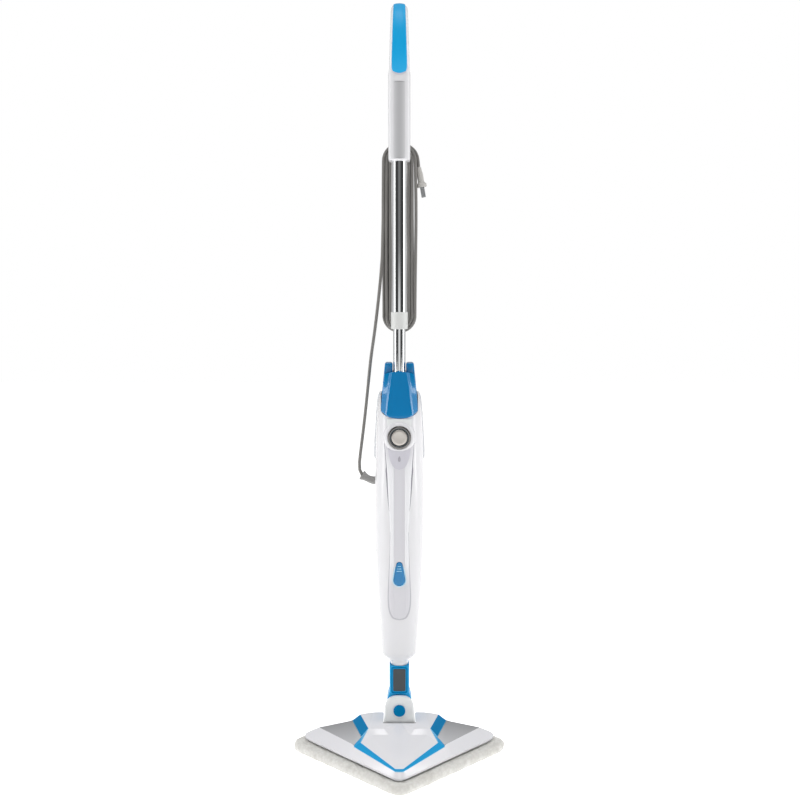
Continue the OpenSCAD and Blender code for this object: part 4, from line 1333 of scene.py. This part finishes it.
@dataclass
class SwivelJoint(Assembly):
    """Yoke on the head, pin with its cap, neck with the release button."""

    pitch_z: float = 36.0
    swivel_z: float = 71.0
    yoke_r: float = 22.8
    rear_r: float = 18.5
    neck_half: float = 15.8
    tongue_r: float = 20.0

    def yoke(self) -> Form:
        """Two cheeks with round tops on a barrel, joined by a web.

        Returns:
            The closed form.
        """
        over = oval(np.array([self.yoke_r + 0.6]), np.array([self.yoke_r]),
                    np.linspace(0, math.pi, 41), 2.5)
        top = over[0] + (0, self.swivel_z)
        low = [(-23.8, 62), (-24.5, 50), (-24, 45.3), (-21, 44.6), (21, 44.6), (24, 45.3),
               (24.5, 50),
               (23.8, 62)]
        front = slab(np.vstack([top, low]), 14, 21.4, Facing.FRONT, 3.2, 0.6, 0.6, 8)
        top = arc((0, self.swivel_z), self.rear_r, 0, 180, 33)
        low = [(-19, 56), (-23, 51.4), (-22, 50), (22, 50), (23, 51.4), (19, 56)]
        rear = slab(np.vstack([top, low]), -22, -14, Facing.FRONT, 0.6, 2.6)
        web = slab(rounded([(-24.6, 41.5), (24.6, 41.5), (24.6, 50.5), (-24.6, 50.5)], 1), -20, 19,
                   Facing.FRONT, 1.5, 1.5)
        side = [(0, -25), (10, -25), (11, -24), (11, 24), (10, 25), (0, 25)]
        return front + rear + web + revolve(side, (0, 0, self.pitch_z), Facing.SIDE, 48)

    def neck(self) -> tuple[Form, Form]:
        """Tongue with flared shoulders and the square bar above it, and the button's frame.

        Returns:
            The neck and the frame.
        """
        circle = arc((0, self.swivel_z), self.tongue_r, 180, 360, 33)
        flare = np.array([(20, 77), (19.6, 84), (18.2, 90.5), (16.4, 96), (15.5, 100), (15.5, 106)])
        outline = np.vstack([circle, flare, flare[::-1] * (-1, 1)])
        tongue = slab(outline, -13.6, 13.6, Facing.FRONT, 1.4, 1.4)
        bar = rounded([(-self.neck_half, -16), (self.neck_half, -16), (self.neck_half, 16),
                       (-self.neck_half, 16)], 3.5)
        trunk = slab(bar, 96.5, 142.7, Facing.TOP, 0.6, 2.0)
        frame_out = rounded([(-13, 97.6), (13, 97.6), (13, 141.4), (-13, 141.4)], 3)
        frame_in = rounded([(-11.2, 99.6), (11.2, 99.6), (11.2, 139.4), (-11.2, 139.4)], 2.2)
        rings = [place(frame_out, 15.5, Facing.FRONT), place(frame_out, 16.35, Facing.FRONT),
                 place(frame_out + (frame_in - frame_out) * 0.35, 16.7, Facing.FRONT),
                 place(frame_in, 16.4, Facing.FRONT), place(frame_in, 15.5, Facing.FRONT)]
        spigot = rounded([(-11, -10), (11, -10), (11, 10), (-11, 10)], 6)
        stem = slab(spigot, 140, 166, Facing.TOP, 0.5, 0.5)
        return tongue + trunk + stem, ring_stack(np.array(rings), True)

    def build(self) -> None:
        """Makes the joint's visible pieces."""
        yoke = make_object("yoke_casting", self.yoke())
        self.add(yoke, Body.YOKE, "pale_plastic", "satin_pale_abs", "yoke")
        cap = revolve([(0, 22.05), (9.2, 22.05), (9.5, 22.4), (9.5, 24.2), (9.2, 24.8),
                       (8.4, 25.1), (0, 25.2)],
                      (0, 0, self.swivel_z), Facing.FRONT, 64)
        self.add(make_object("swivel_cap", cap, 40), Body.YOKE, "blue_plastic",
                     "satin_blue_abs", "pin_cap")
        trunk, frame = self.neck()
        self.add(make_object("blue_neck", trunk), Body.UPRIGHT, "blue_plastic",
                     "sky_blue_abs", "neck")
        # The frame round the release button is darker blue than the neck: painted shade of the gap
        # round the button.
        self.add(make_object("key_frame", frame), Body.UPRIGHT, "blue_plastic",
                     "satin_blue_abs")
        face = rounded([(-10, 100.8), (10, 100.8), (10, 138.2), (-10, 138.2)], 2.4)
        button = slab(face, 10, 16.6, Facing.FRONT, 0.8, 0.3, 0.5)
        self.add(make_object("release_key", button), Body.RELEASE, "dark_plastic",
                     "satin_charcoal_abs", "release_button")


# ---- body -------------------------------------------------------------------------------------


@dataclass
class UprightBody(Assembly):
    """Body's shells, inlay, buttons, cap, and the tank behind."""

    sections: Stations = field(default_factory=lambda: [
        (143, 14.2, 14.6, 14.6), (151, 16.8, 16, 16), (157, 24.8, 19, 19), (161.5, 28, 21.5, 21),
                                                        (187, 29.4, 25, 24), (237, 33, 31, 29),
        (300, 37, 37, 33), (370, 38.7, 41, 34), (433, 38.7, 43.5, 34), (474, 37.6, 45, 34),
        (520, 36.4, 45, 34), (546, 35, 42, 34), (570, 32.5, 36, 34), (586, 27, 28, 34)])
    power: float = 2.5
    wall: float = 2.4
    rear_top: float = 474.0
    inlay: Stations = field(default_factory=lambda: [
        (226, 0.0), (227, 4.5), (229, 9), (233, 11.8), (240, 14.5), (250, 16), (263, 16.5),
        (305, 15.3), (340, 14.4), (372, 14), (400, 15.4), (424, 17), (456, 18.3), (480, 20),
                                                     (503, 22),
        (508, 22.4)])
    button_z: float = 518.0
    steam_z: float = 292.0

    def section(self, z: np.ndarray) -> np.ndarray:
        """Half width, front depth and rear depth at each height."""
        return through(np.array(self.sections, float), z)

    def front_y(self, x: np.ndarray, z: np.ndarray) -> np.ndarray:
        """Y of the front surface: -depth * (1 - (|x| / half width)^n)^(1/n).

        Args:
            x: places across, of the shape (heights, columns).
            z: heights.

        Returns:
            Array of the same shape as x.
        """
        size = self.section(z)
        share = np.clip(np.abs(x) / size[:, :1], 0, 0.999)
        return -size[:, 1:2] * (1 - share ** self.power) ** (1 / self.power)

    def shell_form(self, rear: bool, low: float, high: float) -> Form:
        """Half of the body's casing, from one height to the other.

        Args:
            rear: True for the rear half.
            low: lowest height.
            high: highest height.

        Returns:
            The closed form.
        """
        corner = [143.8, 149.8, 150.5, 151.2, 156.2, 157.0, 157.8]
        z = np.unique(np.concatenate([np.linspace(low, high, 74), corner]))
        size = self.section(z)
        size[:, 0] = np.where(z < 157, np.interp(z, [143, 150.5, 157], [14.2, 16.3, 24.8]),
                              size[:, 0])
        angle = np.linspace(0, math.pi, 49)
        depth = size[:, 2] if rear else size[:, 1]
        sign = 1.0 if rear else -1.0
        grids = []
        for t in (0.0, self.wall):
            flat = oval(size[:, 0] - t, depth - t, angle, self.power)
            points = np.dstack([flat[..., 0], sign * flat[..., 1],
                                np.broadcast_to(z[:, None], flat.shape[:2])])
            grids.append(points)
        return shell(grids[0], grids[1])

    def patch(self, z: np.ndarray, half: np.ndarray, proud: np.ndarray | float, cols: int,
              deep: float = 1.6) -> Form:
        """Plate that follows the body's front, x = s * half width and y = front - proud.

        Args:
            z: heights.
            half: half width at each height.
            proud: how far it stands out, array (heights, cols) or one number.
            cols: points across.
            deep: how far its back lies behind its front.

        Returns:
            The closed form.
        """
        s = np.linspace(-1, 1, cols)[None]
        x = s * half[:, None]
        y = self.front_y(x, z) - proud
        zz = np.broadcast_to(z[:, None], x.shape)
        front = np.dstack([x, y, zz])
        back = np.dstack([x, y + deep, zz])
        return shell(front, back)

    def inlay_relief(self, z: np.ndarray, half: np.ndarray, cols: int) -> np.ndarray:
        """Height of the inlay over the body: two ridges with a channel between them.

        The ridges stand 1.7 mm proud between 9.6 mm and the edge, and the channel 0.35 mm,
        joined by smooth steps. The channel fades out below the steam button and above the
        shield, where the whole inlay is flat.

        Args:
            z: heights.
            half: half widths.
            cols: points across.

        Returns:
            Array (heights, cols).
        """
        x = np.abs(np.linspace(-1, 1, cols)[None] * half[:, None])
        step = np.clip((x - 8.6) / 2.2, 0, 1)
        ridge = step * step * (3 - 2 * step)
        drop = np.clip((half[:, None] - x) / 1.4, 0, 1)
        ends = np.interp(z, [226, 240, 300, 335, 455, 475, 508],
                         [0.2, 0.55, 0.5, 1, 1, 0.5, 0.45])[:, None]
        low = 0.35 + 0.25 * np.interp(z, [300, 330], [1, 0])[:, None]
        return (low + (1.75 - low) * ridge * ends) * (0.25 + 0.75 * np.sqrt(drop))

    def front_panel(self) -> None:
        """Makes the inlay, its seam, its shield and the band above the power button."""
        line = np.array(self.inlay, float)
        z = levels((226, 508, 110), (226, 240, 15))
        half = through(line, z)[:, 0]
        half[0] = 0.05
        form = self.patch(z, half, self.inlay_relief(z, half, 61), 61, 1.4)
        inlay = make_object("silver_inlay", form, 50)
        self.open_up(inlay)
        across, up = np.abs(spots(inlay)[:, 0]), spots(inlay)[:, 2]
        # Painted highlight: the ridge mark paints the raised ridges lighter than the channel.
        step = np.clip((across - 7.6) / 2.0, 0, 1)
        ridge = step * step * (3 - 2 * step) * np.interp(up, [285, 320, 468, 492], [0, 1, 1, 0])
        mark(inlay, "ridge", ridge)
        self.add(inlay, Body.UPRIGHT, "silver_plastic", "silver_painted_abs", "inlay_panel")
        z2 = levels((224.2, 508.5, 110), (224.2, 238, 15))
        wide = np.interp(z2, [224, 262, 300, 335, 368, 374, 398, 404, 440, 466, 473, 508],
                         [2.0, 2.0, 1.3, 0.6, 0.4, -0.6, -0.6, 0.4, 1.7, 2.3, 1.1, 0.7])
        squeezed = 226 + (z2 - 224.2) * (508 - 226) / (508.5 - 224.2)
        half2 = through(line, squeezed)[:, 0] + wide
        half2[0] = 0.05
        form = self.patch(z2, half2, 0.14, 41, 0.9)
        seam = make_object("inlay_seam", form, 50)
        self.open_up(seam)
        # Painted shade: the seam is painted darker towards the top.
        shade = np.interp(spots(seam)[:, 2], [300, 400], [0, 1])
        mark(seam, "depth", shade)
        self.add(seam, Body.UPRIGHT, "dark_plastic", "matt_seam_grey")
        shield = np.array([(468.5, 0.0), (469.5, 4.8), (472, 8.3), (476, 11.2), (482, 13.8),
                           (490, 15.8),
                           (500, 17.2), (505, 17.6)], float)
        z3 = levels((468.5, 505, 26), (468.5, 474, 9))
        half3 = through(shield, z3)[:, 0]
        half3[0] = 0.05
        form = self.patch(z3, half3, 1.35, 31, 1.3)
        self.add(make_object("inlay_shield", form, 50), Body.UPRIGHT, "silver_plastic",
                     "violet_silver_paint")
        lens = rounded([(-1.9, 481.6), (0, 480.6), (1.9, 481.6), (1.9, 486.5), (0, 490),
                        (-1.9, 486.5)], 1.4)
        self.add(make_object("lens_face", slab(lens, 42, 46.75, Facing.FRONT, 0.3, 0.1)),
                 Body.UPRIGHT,
                     "silver_plastic", "indicator_lens", "indicator_lens")
        z4 = np.linspace(524, 545.6, 20)
        form = self.patch(z4, np.interp(z4, [524, 550], [17.5, 19.3]), 0.5, 31, 1.4)
        band = make_object("brow_band", form, 50)
        self.open_up(band)
        bevel(band, 0.3, 50, 2)
        self.add(band, Body.UPRIGHT, "silver_plastic", "satin_pale_abs")

    def drop(self, gap: float) -> np.ndarray:
        """Outline of the steam button, drawn outwards by the gap."""
        lean = math.degrees(math.asin((9 - 4.9) / (316.2 - self.steam_z)))
        return np.vstack([arc((0, self.steam_z), 9 + gap, 180 - lean, 360 + lean, 40),
                          arc((0, 316.2), 4.9 + gap, lean, 180 - lean, 24)])

    def open_up(self, obj: bpy.types.Object) -> None:
        """Cuts the openings of the steam button and the power button through a piece."""
        bore = revolve([(0, 20), (13.4, 20), (13.4, 60), (0, 60)], (0, 0, self.button_z),
                       Facing.FRONT, 64)
        cut_away(obj, slab(self.drop(0.4), 20, 60, Facing.FRONT, 0.1, 0.1) + bore)

    def buttons(self) -> None:
        """Makes the power button with its rings, and the steam button with its ribs."""
        centre = (0, 0, self.button_z)
        collar = [(17.7, 34), (17.7, 46.3), (18.1, 46.8), (19.2, 47), (20.6, 46.6), (22.4, 45.2),
                  (24.0, 42.6), (25.0, 38.5), (25.2, 34)]
        form = revolve(collar, centre, Facing.FRONT, 96, True)
        self.add(make_object("button_collar", form, 60), Body.UPRIGHT, "white_plastic",
                     "gloss_white_abs")
        ring = [(13.1, 33.4), (13.1, 46.2), (13.9, 46.9), (14.5, 47.9), (15.2, 48.1), (16.9, 48.0),
                (17.5, 47.4),
                (17.5, 33.4)]
        form = revolve(ring, centre, Facing.FRONT, 96, True)
        self.add(make_object("button_ring", form, 50), Body.UPRIGHT, "dark_plastic",
                     "dark_nickel_ring", "button_bezel")
        inner = [(12.85, 40), (15.2, 40), (15.2, 47.8), (14.6, 48.15), (13.6, 47.5), (12.85, 46.4)]
        form = revolve(inner, centre, Facing.FRONT, 96, True)
        self.add(make_object("button_inner_ring", form, 50), Body.UPRIGHT, "dark_plastic",
                     "satin_charcoal_abs")
        face = [(0, 30.8), (2.9, 30.8), (2.9, 39), (12.6, 39), (12.6, 46.3), (12.2, 47),
                (11.4, 47.4),
                (8, 47.15), (4, 46.95), (0, 46.9)]
        self.add(make_object("power_key", revolve(face, centre, Facing.FRONT, 96), 45), Body.POWER,
                     "satin_metal", "satin_anodised_metal", "power_button")
        drop = self.drop(0)
        key = slab(drop, 33.5, 38.9, Facing.FRONT, 1.3, 0.3, 0.7, 7)
        self.add(make_object("steam_key", key, 40), Body.STEAM, "blue_plastic",
                     "gloss_blue_abs", "steam_button")
        ribs = None
        for half, z in ((2.5, 314.4), (3.2, 310.4), (4.1, 306.6)):
            bar = rounded([(-half, z - 0.55), (half, z - 0.55), (half, z + 0.55),
                           (-half, z + 0.55)], 0.6, 3)
            rib = slab(bar, 38.2, 39.75, Facing.FRONT, 0.3, 0.1)
            ribs = rib if ribs is None else ribs + rib
        self.add(make_object("steam_key_ribs", ribs), Body.STEAM, "blue_plastic",
                     "pale_blue_abs")
        # Pale ring round the steam button: a painted highlight of its glossy rim.
        rings = [place(self.drop(g), d, Facing.FRONT) for g, d in
                 ((0.35, 34), (0.35, 37.9), (0.7, 38.3), (1.4, 38.2), (1.8, 37.6), (1.8, 34))]
        self.add(make_object("steam_key_rim", ring_stack(np.array(rings), True), 60), Body.UPRIGHT,
                     "silver_plastic", "ice_blue_rim")

    def cap(self) -> None:
        """Makes the blue cap: a flat face between two facets, and two horns beside the tube."""
        stations = np.array([
            (546.5, 28.4, 41.9, 18.6, 2), (549, 28.45, 41.8, 18.5, 2), (556, 28.45, 40.9, 18.0, 2),
            (562, 28.4, 39.8, 17.4, 2), (575, 27.6, 36.0, 16.0, 4), (584.5, 26.9, 32.6, 14.9, 8),
            (596, 25.7, 28.2, 13.4, 13), (608, 24.4, 23.2, 11.8, 14),
                             (616, 23.6, 19.8, 10.8, 14.5)], float)
        z = np.concatenate([np.linspace(546.5, 554, 12), np.linspace(556, 616, 28)])
        size = through(stations, z)
        rings = []
        for height, (half, front, face, rear) in zip(z, size):
            draw = 7 - 7 * math.sqrt(1 - max(0.0, (553.5 - height) / 7) ** 2)
            half, face = half - draw, face - draw * 0.4
            ring = [(half, 0), (half - 0.2, -front * 0.7), (face + 4.3, -front + 3.6),
                    (face, -front),
                    (-face, -front), (-face - 4.3, -front + 3.6), (-half + 0.2, -front * 0.7),
                    (-half, 0), (-half + 3, rear), (half - 3, rear)]
            flat = even(rounded(ring[::-1], 1.0, 3), 180)
            rings.append(np.column_stack([flat, np.full(len(flat), height)]))
        grid = np.array(rings)
        share = np.clip((grid[:, :, 2] - 600) / 16, 0, 1)
        grid[:, :, 2] -= share * 0.0075 * grid[:, :, 0] ** 2
        low = np.clip((560 - grid[:, :, 2]) / 14, 0, 1)
        grid[:, :, 2] += low * 0.0095 * grid[:, :, 0] ** 2
        form = ring_stack(grid)
        horn = rounded([(10.4, 586), (26.4, 590), (24.9, 604), (23.2, 620), (22.4, 629),
                        (10.4, 629)], 3.2, 4)
        right = slab(horn, -14, 6, Facing.FRONT, 2.2, 1.5)
        cap = make_object("blue_cap", form + right + right.mirrored(), 28)
        self.add(cap, Body.UPRIGHT, "blue_plastic", "gloss_blue_abs", "top_cap")

    def tank(self) -> None:
        """Makes the water tank with its rim and the fill cap with its ribbed edge."""
        stations = np.array([
            (475.3, 37.6, 41), (477, 38.9, 43.5), (481, 40, 46), (491, 40, 47.5), (520, 38.4, 48.5),
            (557, 36, 46.5), (574, 34.2, 41), (579, 32.8, 37.5), (582, 30.8, 33)], float)
        z = levels((475.3, 582, 60), (475.3, 482, 8))
        size = through(stations, z)
        groove = 0.7 * np.exp(-((z - 498) / 1.1) ** 2)
        size -= groove[:, None]
        angle = np.linspace(0, math.pi, 45)
        flat = oval(size[:, 0], size[:, 1], angle, 2.6)
        face = np.linspace(-1, 1, 16)[1:-1]
        wall = np.dstack([size[:, :1] * face[None], np.zeros((len(z), 14))])
        ring = np.concatenate([flat, wall], 1)
        grid = np.dstack([ring[..., 0], ring[..., 1] + 6.5,
                          np.broadcast_to(z[:, None], ring.shape[:2])])
        neck = revolve([(0, 48), (18, 48), (18, 54.6), (17.6, 55), (0, 55)], (0, 0, 545),
                       Facing.REAR, 64)
        tank = make_object("frosted_tank", ring_stack(grid) + neck, 40)
        bevel(tank, 0.6, 50)
        self.add(tank, Body.TANK, "tank_plastic", "frosted_tank_pp", "tank_shell", "tank_front")
        a = np.arange(144) * 2 * math.pi / 144
        knurl = np.stack([np.cos(a), np.sin(a)], 1) * (16.6 + 0.4 * np.cos(24 * a))[:, None]
        lid = slab(knurl + (0, 545), 55.2, 60.2, Facing.REAR, 0.9, 0.3)
        bar = slab(rounded([(-13, 542), (13, 542), (13, 548), (-13, 548)], 2.5), 59, 63,
                   Facing.REAR, 1.2, 0.2)
        stem = revolve([(0, 47), (12.8, 47), (12.8, 55.5), (0, 55.5)], (0, 0, 545), Facing.REAR, 48)
        self.add(make_object("fill_cap_lid", lid + bar + stem), Body.FILL_CAP, "blue_plastic",
                     "gloss_blue_abs", "tank_cap")

    def build(self) -> None:
        """Makes the shells and everything on them."""
        white = "gloss_white_abs"
        front = make_object("front_casing", self.shell_form(False, 143, 584), 50)
        gap = even(rounded([(-28.7, 546), (28.7, 546), (28.7, 600), (-28.7, 600)], 7), 150)
        gap[:, 1] += np.clip(560 - gap[:, 1], 0, 14) / 14 * 0.0095 * gap[:, 0] ** 2
        cut_away(front, slab(gap, 0.9, 60, Facing.FRONT, 0.1, 0.1))
        self.open_up(front)
        bevel(front, 0.5, 50)
        self.add(front, Body.UPRIGHT, "white_plastic", white, "body_front_shell")
        rear = make_object("rear_casing", self.shell_form(True, 143, self.rear_top), 50)
        bevel(rear, 0.5, 50)
        self.add(rear, Body.UPRIGHT, "white_plastic", white, "body_rear_shell")
        self.front_panel()
        self.buttons()
        self.cap()
        self.tank()


# ---- pole ------------------------------------------------------------------------------------


@dataclass
class Pole(Assembly):
    """Two chromed tubes, the collar between them and the two cord hooks."""

    lower_r: float = 9.525
    upper_r: float = 11.1
    hook_z: tuple[float, float] = (698.5, 938.0)
    tab: float = 36.0

    @staticmethod
    def tube(radius: float, low: float, high: float) -> Form:
        """Hollow tube with rounded ends.

        Args:
            radius: outside radius.
            low: height of its lower end.
            high: height of its upper end.

        Returns:
            The closed form.
        """
        bore, lip = radius - 1.2, 0.3
        profile = [(bore, low), (radius - lip, low), (radius, low + lip), (radius, high - lip),
                   (radius - lip, high), (bore, high)]
        return revolve(profile, (0, 0, 0), Facing.TOP, 64, True)

    def hook(self, z: float, start: float, up: bool) -> Form:
        """Post with a rounded tab across its end.

        Args:
            z: height of the post.
            start: where the post starts.
            up: True where the tab points up.

        Returns:
            The closed form.
        """
        post = revolve([(0, start), (9.3, start), (9.3, 40), (0, 40)], (0, 0, z), Facing.REAR, 48)
        first, tip = (180, z + self.tab - 7) if up else (0, z - self.tab + 7)
        outline = np.vstack([arc((0, z), 9.3, first, first + 180, 25),
                             arc((0, tip), 7, 180 - first, 360 - first, 17)])
        return post + slab(outline, 39.5, 43, Facing.REAR, 0.9, 0.9)

    def build(self) -> None:
        """Makes the pole."""
        chrome, pale = "chromed_steel_tube", "collar_grey_abs"
        self.add(make_object("lower_chrome_tube", self.tube(self.lower_r, 586.5, 725)),
                 Body.UPRIGHT,
                     "chrome_tube", chrome, "lower_tube")
        self.add(make_object("upper_chrome_tube", self.tube(self.upper_r, 690, 1000)), Body.UPRIGHT,
                     "chrome_tube", chrome, "upper_tube")
        sleeve = revolve([(9.6, 681), (12.4, 681), (13, 681.6), (13, 706.4), (12.4, 707),
                          (11.2, 707),
                          (9.6, 690)], (0, 0, 0), Facing.TOP, 64, True)
        self.add(make_object("tube_collar", sleeve + self.hook(self.hook_z[0], 12.4, False)),
                     Body.UPRIGHT, "pale_plastic", pale, "collar")
        pin = revolve([(0, 12.2), (3, 12.2), (3, 18), (0, 18)], (0, 0, self.hook_z[1]),
                      Facing.REAR, 32)
        self.add(make_object("turning_hook", self.hook(self.hook_z[1], 17.5, True) + pin),
                 Body.HOOK,
                     "pale_plastic", pale, "cord_hook")


# ---- handle ----------------------------------------------------------------------------------


@dataclass
class LoopHandle(Assembly):
    """Closed loop handle: two white shells, the soft grip, the grey panel, and a grey crescent that
    paints the shade of the step under the grip.
    """

    centre: tuple[float, float] = (17.0, 1102.0)
    axes: tuple[float, float] = (41.0, 63.0)
    power: float = 2.3
    bar: float = 20.0
    seam: float = 8.0

    def half_width(self, z: np.ndarray) -> np.ndarray:
        """Half width of the handle at each height."""
        return np.interp(z, [934, 1060, 1068, 1166], [16.6, 16.6, 15.4, 12.3])

    def loop_line(self, angle: np.ndarray, inset: float) -> np.ndarray:
        """Points of the loop's side outline drawn in by inset: a cos^(2/n), b sin^(2/n).

        Args:
            angle: angles from the rear, through the top.
            inset: how far inside the outside.

        Returns:
            Array (points, 2) of depth and height.
        """
        c, s = np.cos(angle), np.sin(angle)
        y = (self.axes[0] - inset) * np.sign(c) * np.abs(c) ** (2 / self.power)
        z = (self.axes[1] - inset) * np.sign(s) * np.abs(s) ** (2 / self.power)
        return np.stack([self.centre[0] + y, self.centre[1] + z], 1)

    def whole(self) -> Form:
        """Leg and loop as two overlapping solids.

        The leg is a rounded square carried up. The loop is a rounded square whose outside
        follows the loop's line and whose inside follows the same line drawn in by the bar.

        Returns:
            The closed form.
        """
        corner = rounded([(-16.6, -17), (16.6, -17), (16.6, 17), (-16.6, 17)], 9, 4)
        heights = np.array([934, 934.4, 935.2, 950, 1000, 1040, 1056, 1066, 1074])
        inset = np.array([0.8, 0.25, 0, 0, 0, 0, 0, 0.8, 1.8])
        leg = np.array([np.column_stack([corner * (1 - i / 16.6), np.full(len(corner), z)])
                        for i, z in zip(inset, heights)])
        share = np.clip(np.abs(leg[..., 1] - self.centre[0]) / (self.axes[0] - 12), 0, 0.98)
        roof = self.centre[1] - (self.axes[1] - 12) * (1 - share ** self.power) ** (1 / self.power)
        leg[..., 2] = np.minimum(leg[..., 2], roof)
        angle = np.linspace(0, 2 * math.pi, 121)[:-1]
        outer, inner = self.loop_line(angle, 0.0), self.loop_line(angle, self.bar)
        a = np.linspace(0, 2 * math.pi, 49)[:-1]
        across = np.sign(np.cos(a)) * np.abs(np.cos(a)) ** 0.62
        through_bar = 0.5 - 0.5 * np.sign(np.sin(a)) * np.abs(np.sin(a)) ** 0.62
        path = outer[:, None] + (inner - outer)[:, None] * through_bar[None, :, None]
        half = self.half_width(path[..., 1])
        rings = np.dstack([half * across[None], path[..., 0], path[..., 1]])
        return ring_stack(leg) + ring_stack(rings, True)

    def shells(self) -> None:
        """Melts leg and loop into one form and parts it at the seam."""
        for name, node, rear in (("handle_front", "handle_front_shell", False),
                                 ("handle_rear", "handle_rear_shell", True)):
            obj = make_object(name, self.whole())
            melt = obj.modifiers.new("melt", "REMESH")
            melt.mode = "VOXEL"
            melt.voxel_size = 1.5 * MM
            ease = obj.modifiers.new("ease", "SMOOTH")
            ease.factor = 0.5
            ease.iterations = 9
            apply_modifiers(obj)
            work = bmesh.new()
            work.from_mesh(obj.data)
            shift = self.seam + (0.12 if rear else -0.12)
            cut = bmesh.ops.bisect_plane(
                work, geom=[*work.verts, *work.edges, *work.faces], dist=1e-7,
                plane_co=(0, shift * MM, 0), plane_no=(0, 1, 0), clear_outer=not rear,
                                         clear_inner=rear)
            rim = [e for e in cut["geom_cut"] if isinstance(e, bmesh.types.BMEdge)]
            bmesh.ops.holes_fill(work, edges=rim, sides=0)
            bmesh.ops.recalc_face_normals(work, faces=work.faces)
            work.to_mesh(obj.data)
            work.free()
            obj.data.shade_smooth()
            obj.data.set_sharp_from_angle(angle=math.radians(50))
            self.add(obj, Body.UPRIGHT, "white_plastic", "gloss_white_abs", node)

    def grip(self) -> Form:
        """Soft insert: a crowned strip along the loop's outside, from the front over the top.

        Its half width shrinks from 11.3 to 8.5 mm and closes in a half circle at its lower
        end. Its face is 0.5 mm outside the shell, with a crown of 0.9 mm.

        Returns:
            The closed form.
        """
        angle = np.linspace(math.radians(222), math.radians(64), 90)
        line = self.loop_line(angle, 0.0)
        along = np.gradient(line, axis=0)
        out = np.stack([-along[:, 1], along[:, 0]], 1) / np.linalg.norm(along, axis=1)[:, None]
        centre = np.array(self.centre)
        out *= np.sign(((line - centre) * out).sum(1))[:, None]
        run = np.concatenate([[0], np.cumsum(np.linalg.norm(np.diff(line, axis=0), axis=1))])
        full = np.interp(line[:, 1], [1077, 1166], [11.3, 8.5])
        ends = np.sqrt(np.clip(1 - ((11.3 - run) / 11.3).clip(0) ** 2, 0, 1))
        tail = np.sqrt(np.clip(1 - ((5 - (run[-1] - run)) / 5).clip(0) ** 2, 0, 1))
        half = np.maximum(full * ends * tail, 0.02)
        s = np.linspace(-1, 1, 25)
        drop = np.abs(s) ** 3
        lift = 0.6 + 0.9 * (1 - s * s) - 0.5 * drop
        outer = line[:, None] + out[:, None] * lift[None, :, None]
        inner = np.broadcast_to(line[:, None] - out[:, None] * 2.4, outer.shape)
        x = half[:, None] * s[None]
        return shell(np.dstack([x, outer]), np.dstack([x, inner]))

    def build(self) -> None:
        """Makes the handle."""
        self.shells()
        self.add(make_object("soft_grip", self.grip(), 60), Body.UPRIGHT, "blue_rubber",
                     "soft_blue_rubber", "handle_grip")
        edge = even(rounded([(-9, 936.5), (9, 936.5), (9, 1047.5), (-9, 1047.5)], 1.2), 240)
        crown = [(1, 14.5), (1, 17.3), (0.97, 17.7), (0.8, 17.6), (0.55, 17.45), (0.3, 17.3),
                 (0.1, 17.25)]
        rows = [place(np.column_stack([edge[:, 0] * share, edge[:, 1]]), depth, Facing.FRONT)
                for share, depth in crown]
        panel = make_object("grey_handle_panel", ring_stack(np.array(rows)))
        # Painted shade: the hollow panel is painted darker in the middle and lighter to its sides.
        fall = np.abs(spots(panel)[:, 0]) / 9
        mark(panel, "fall", fall ** 2)
        self.add(panel, Body.UPRIGHT, "silver_plastic", "panel_grey_abs", "handle_panel")
        # Grey crescent under the grip's lower end: painted shade of the step where the loop leaves
        # the leg.
        swing = np.radians(np.linspace(-72, 72, 41))
        share = np.linspace(0, 1, 7)[:, None]
        near = np.stack([11.5 * np.sin(swing), 1077 - 11.5 * np.cos(swing)], 1)
        far = np.stack([14.6 * np.sin(swing), 1071.5 - 14.6 * np.cos(swing)], 1)
        flat = near[None] + (far - near)[None] * share[..., None]
        high = np.clip(np.abs(flat[..., 1] - self.centre[1]) / self.axes[1], 0, 1)
        loop_y = self.centre[0] - self.axes[0] * (1 - high ** self.power) ** (1 / self.power)
        y = np.minimum(loop_y, -17.0) - 0.35
        y += 5.5 * (np.abs(flat[..., 0]) / 15.5) ** 5
        front = np.dstack([flat[..., 0], y, flat[..., 1]])
        step = shell(front, front + (0, 2.0, 0))
        self.add(make_object("grip_step", step, 60), Body.UPRIGHT, "silver_plastic",
                     "violet_silver_paint")


# ---- what stays of the CAD -------------------------------------------------------------------


@dataclass
class Internals(Assembly):
    """CAD nodes that keep their own shape and only need a finish."""

    looks: dict[str, str] = field(default_factory=lambda: {
        "grip_strips": "black_hook_tape", "steam_plate": "turned_steel",
                                                           "head_base": "gloss_white_abs",
        "steam_elbow": "milky_hose", "head_screws": "turned_steel", "pitch_axle": "turned_steel",
        "swivel_pin": "turned_steel", "release_spring": "turned_steel",
                                                           "steam_pipe": "turned_steel",
        "body_screws": "turned_steel",
        "power_spring": "turned_steel", "power_switch": "satin_charcoal_abs",
        "steam_spring": "turned_steel", "steam_switch": "satin_charcoal_abs",
        "boiler": "cast_aluminium", "pump": "satin_charcoal_abs", "pump_pipe": "milky_hose",
        "control_board": "green_board", "water_hose": "milky_hose", "tank_dock": "gloss_white_abs",
        "tank_valve": "satin_charcoal_abs", "tank_seal": "seal_rubber",
                                                           "handle_screws": "turned_steel",
        "plug_blades": "turned_steel",
    })

    def build(self) -> None:
        """Gives each remaining CAD node its material."""
        for node, name in self.looks.items():
            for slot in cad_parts[node].material_slots:
                slot.material = self.finish[name]
            LOG.info("%s keeps its CAD shape, in %s", node, name)


def main() -> None:
    """Builds the studio and every piece, in order."""
    logging.basicConfig(level=logging.INFO, format="%(name)s: %(message)s")
    studio = Studio()
    studio.camera()
    finish = make_finishes()
    for kind in (CordRun, MopPad, MopHead, SwivelJoint, UprightBody, Pole, LoopHandle, Internals):
        kind(finish).build()
    studio.build()
    bpy.context.view_layer.update()


if __name__ == "__main__":
    main()
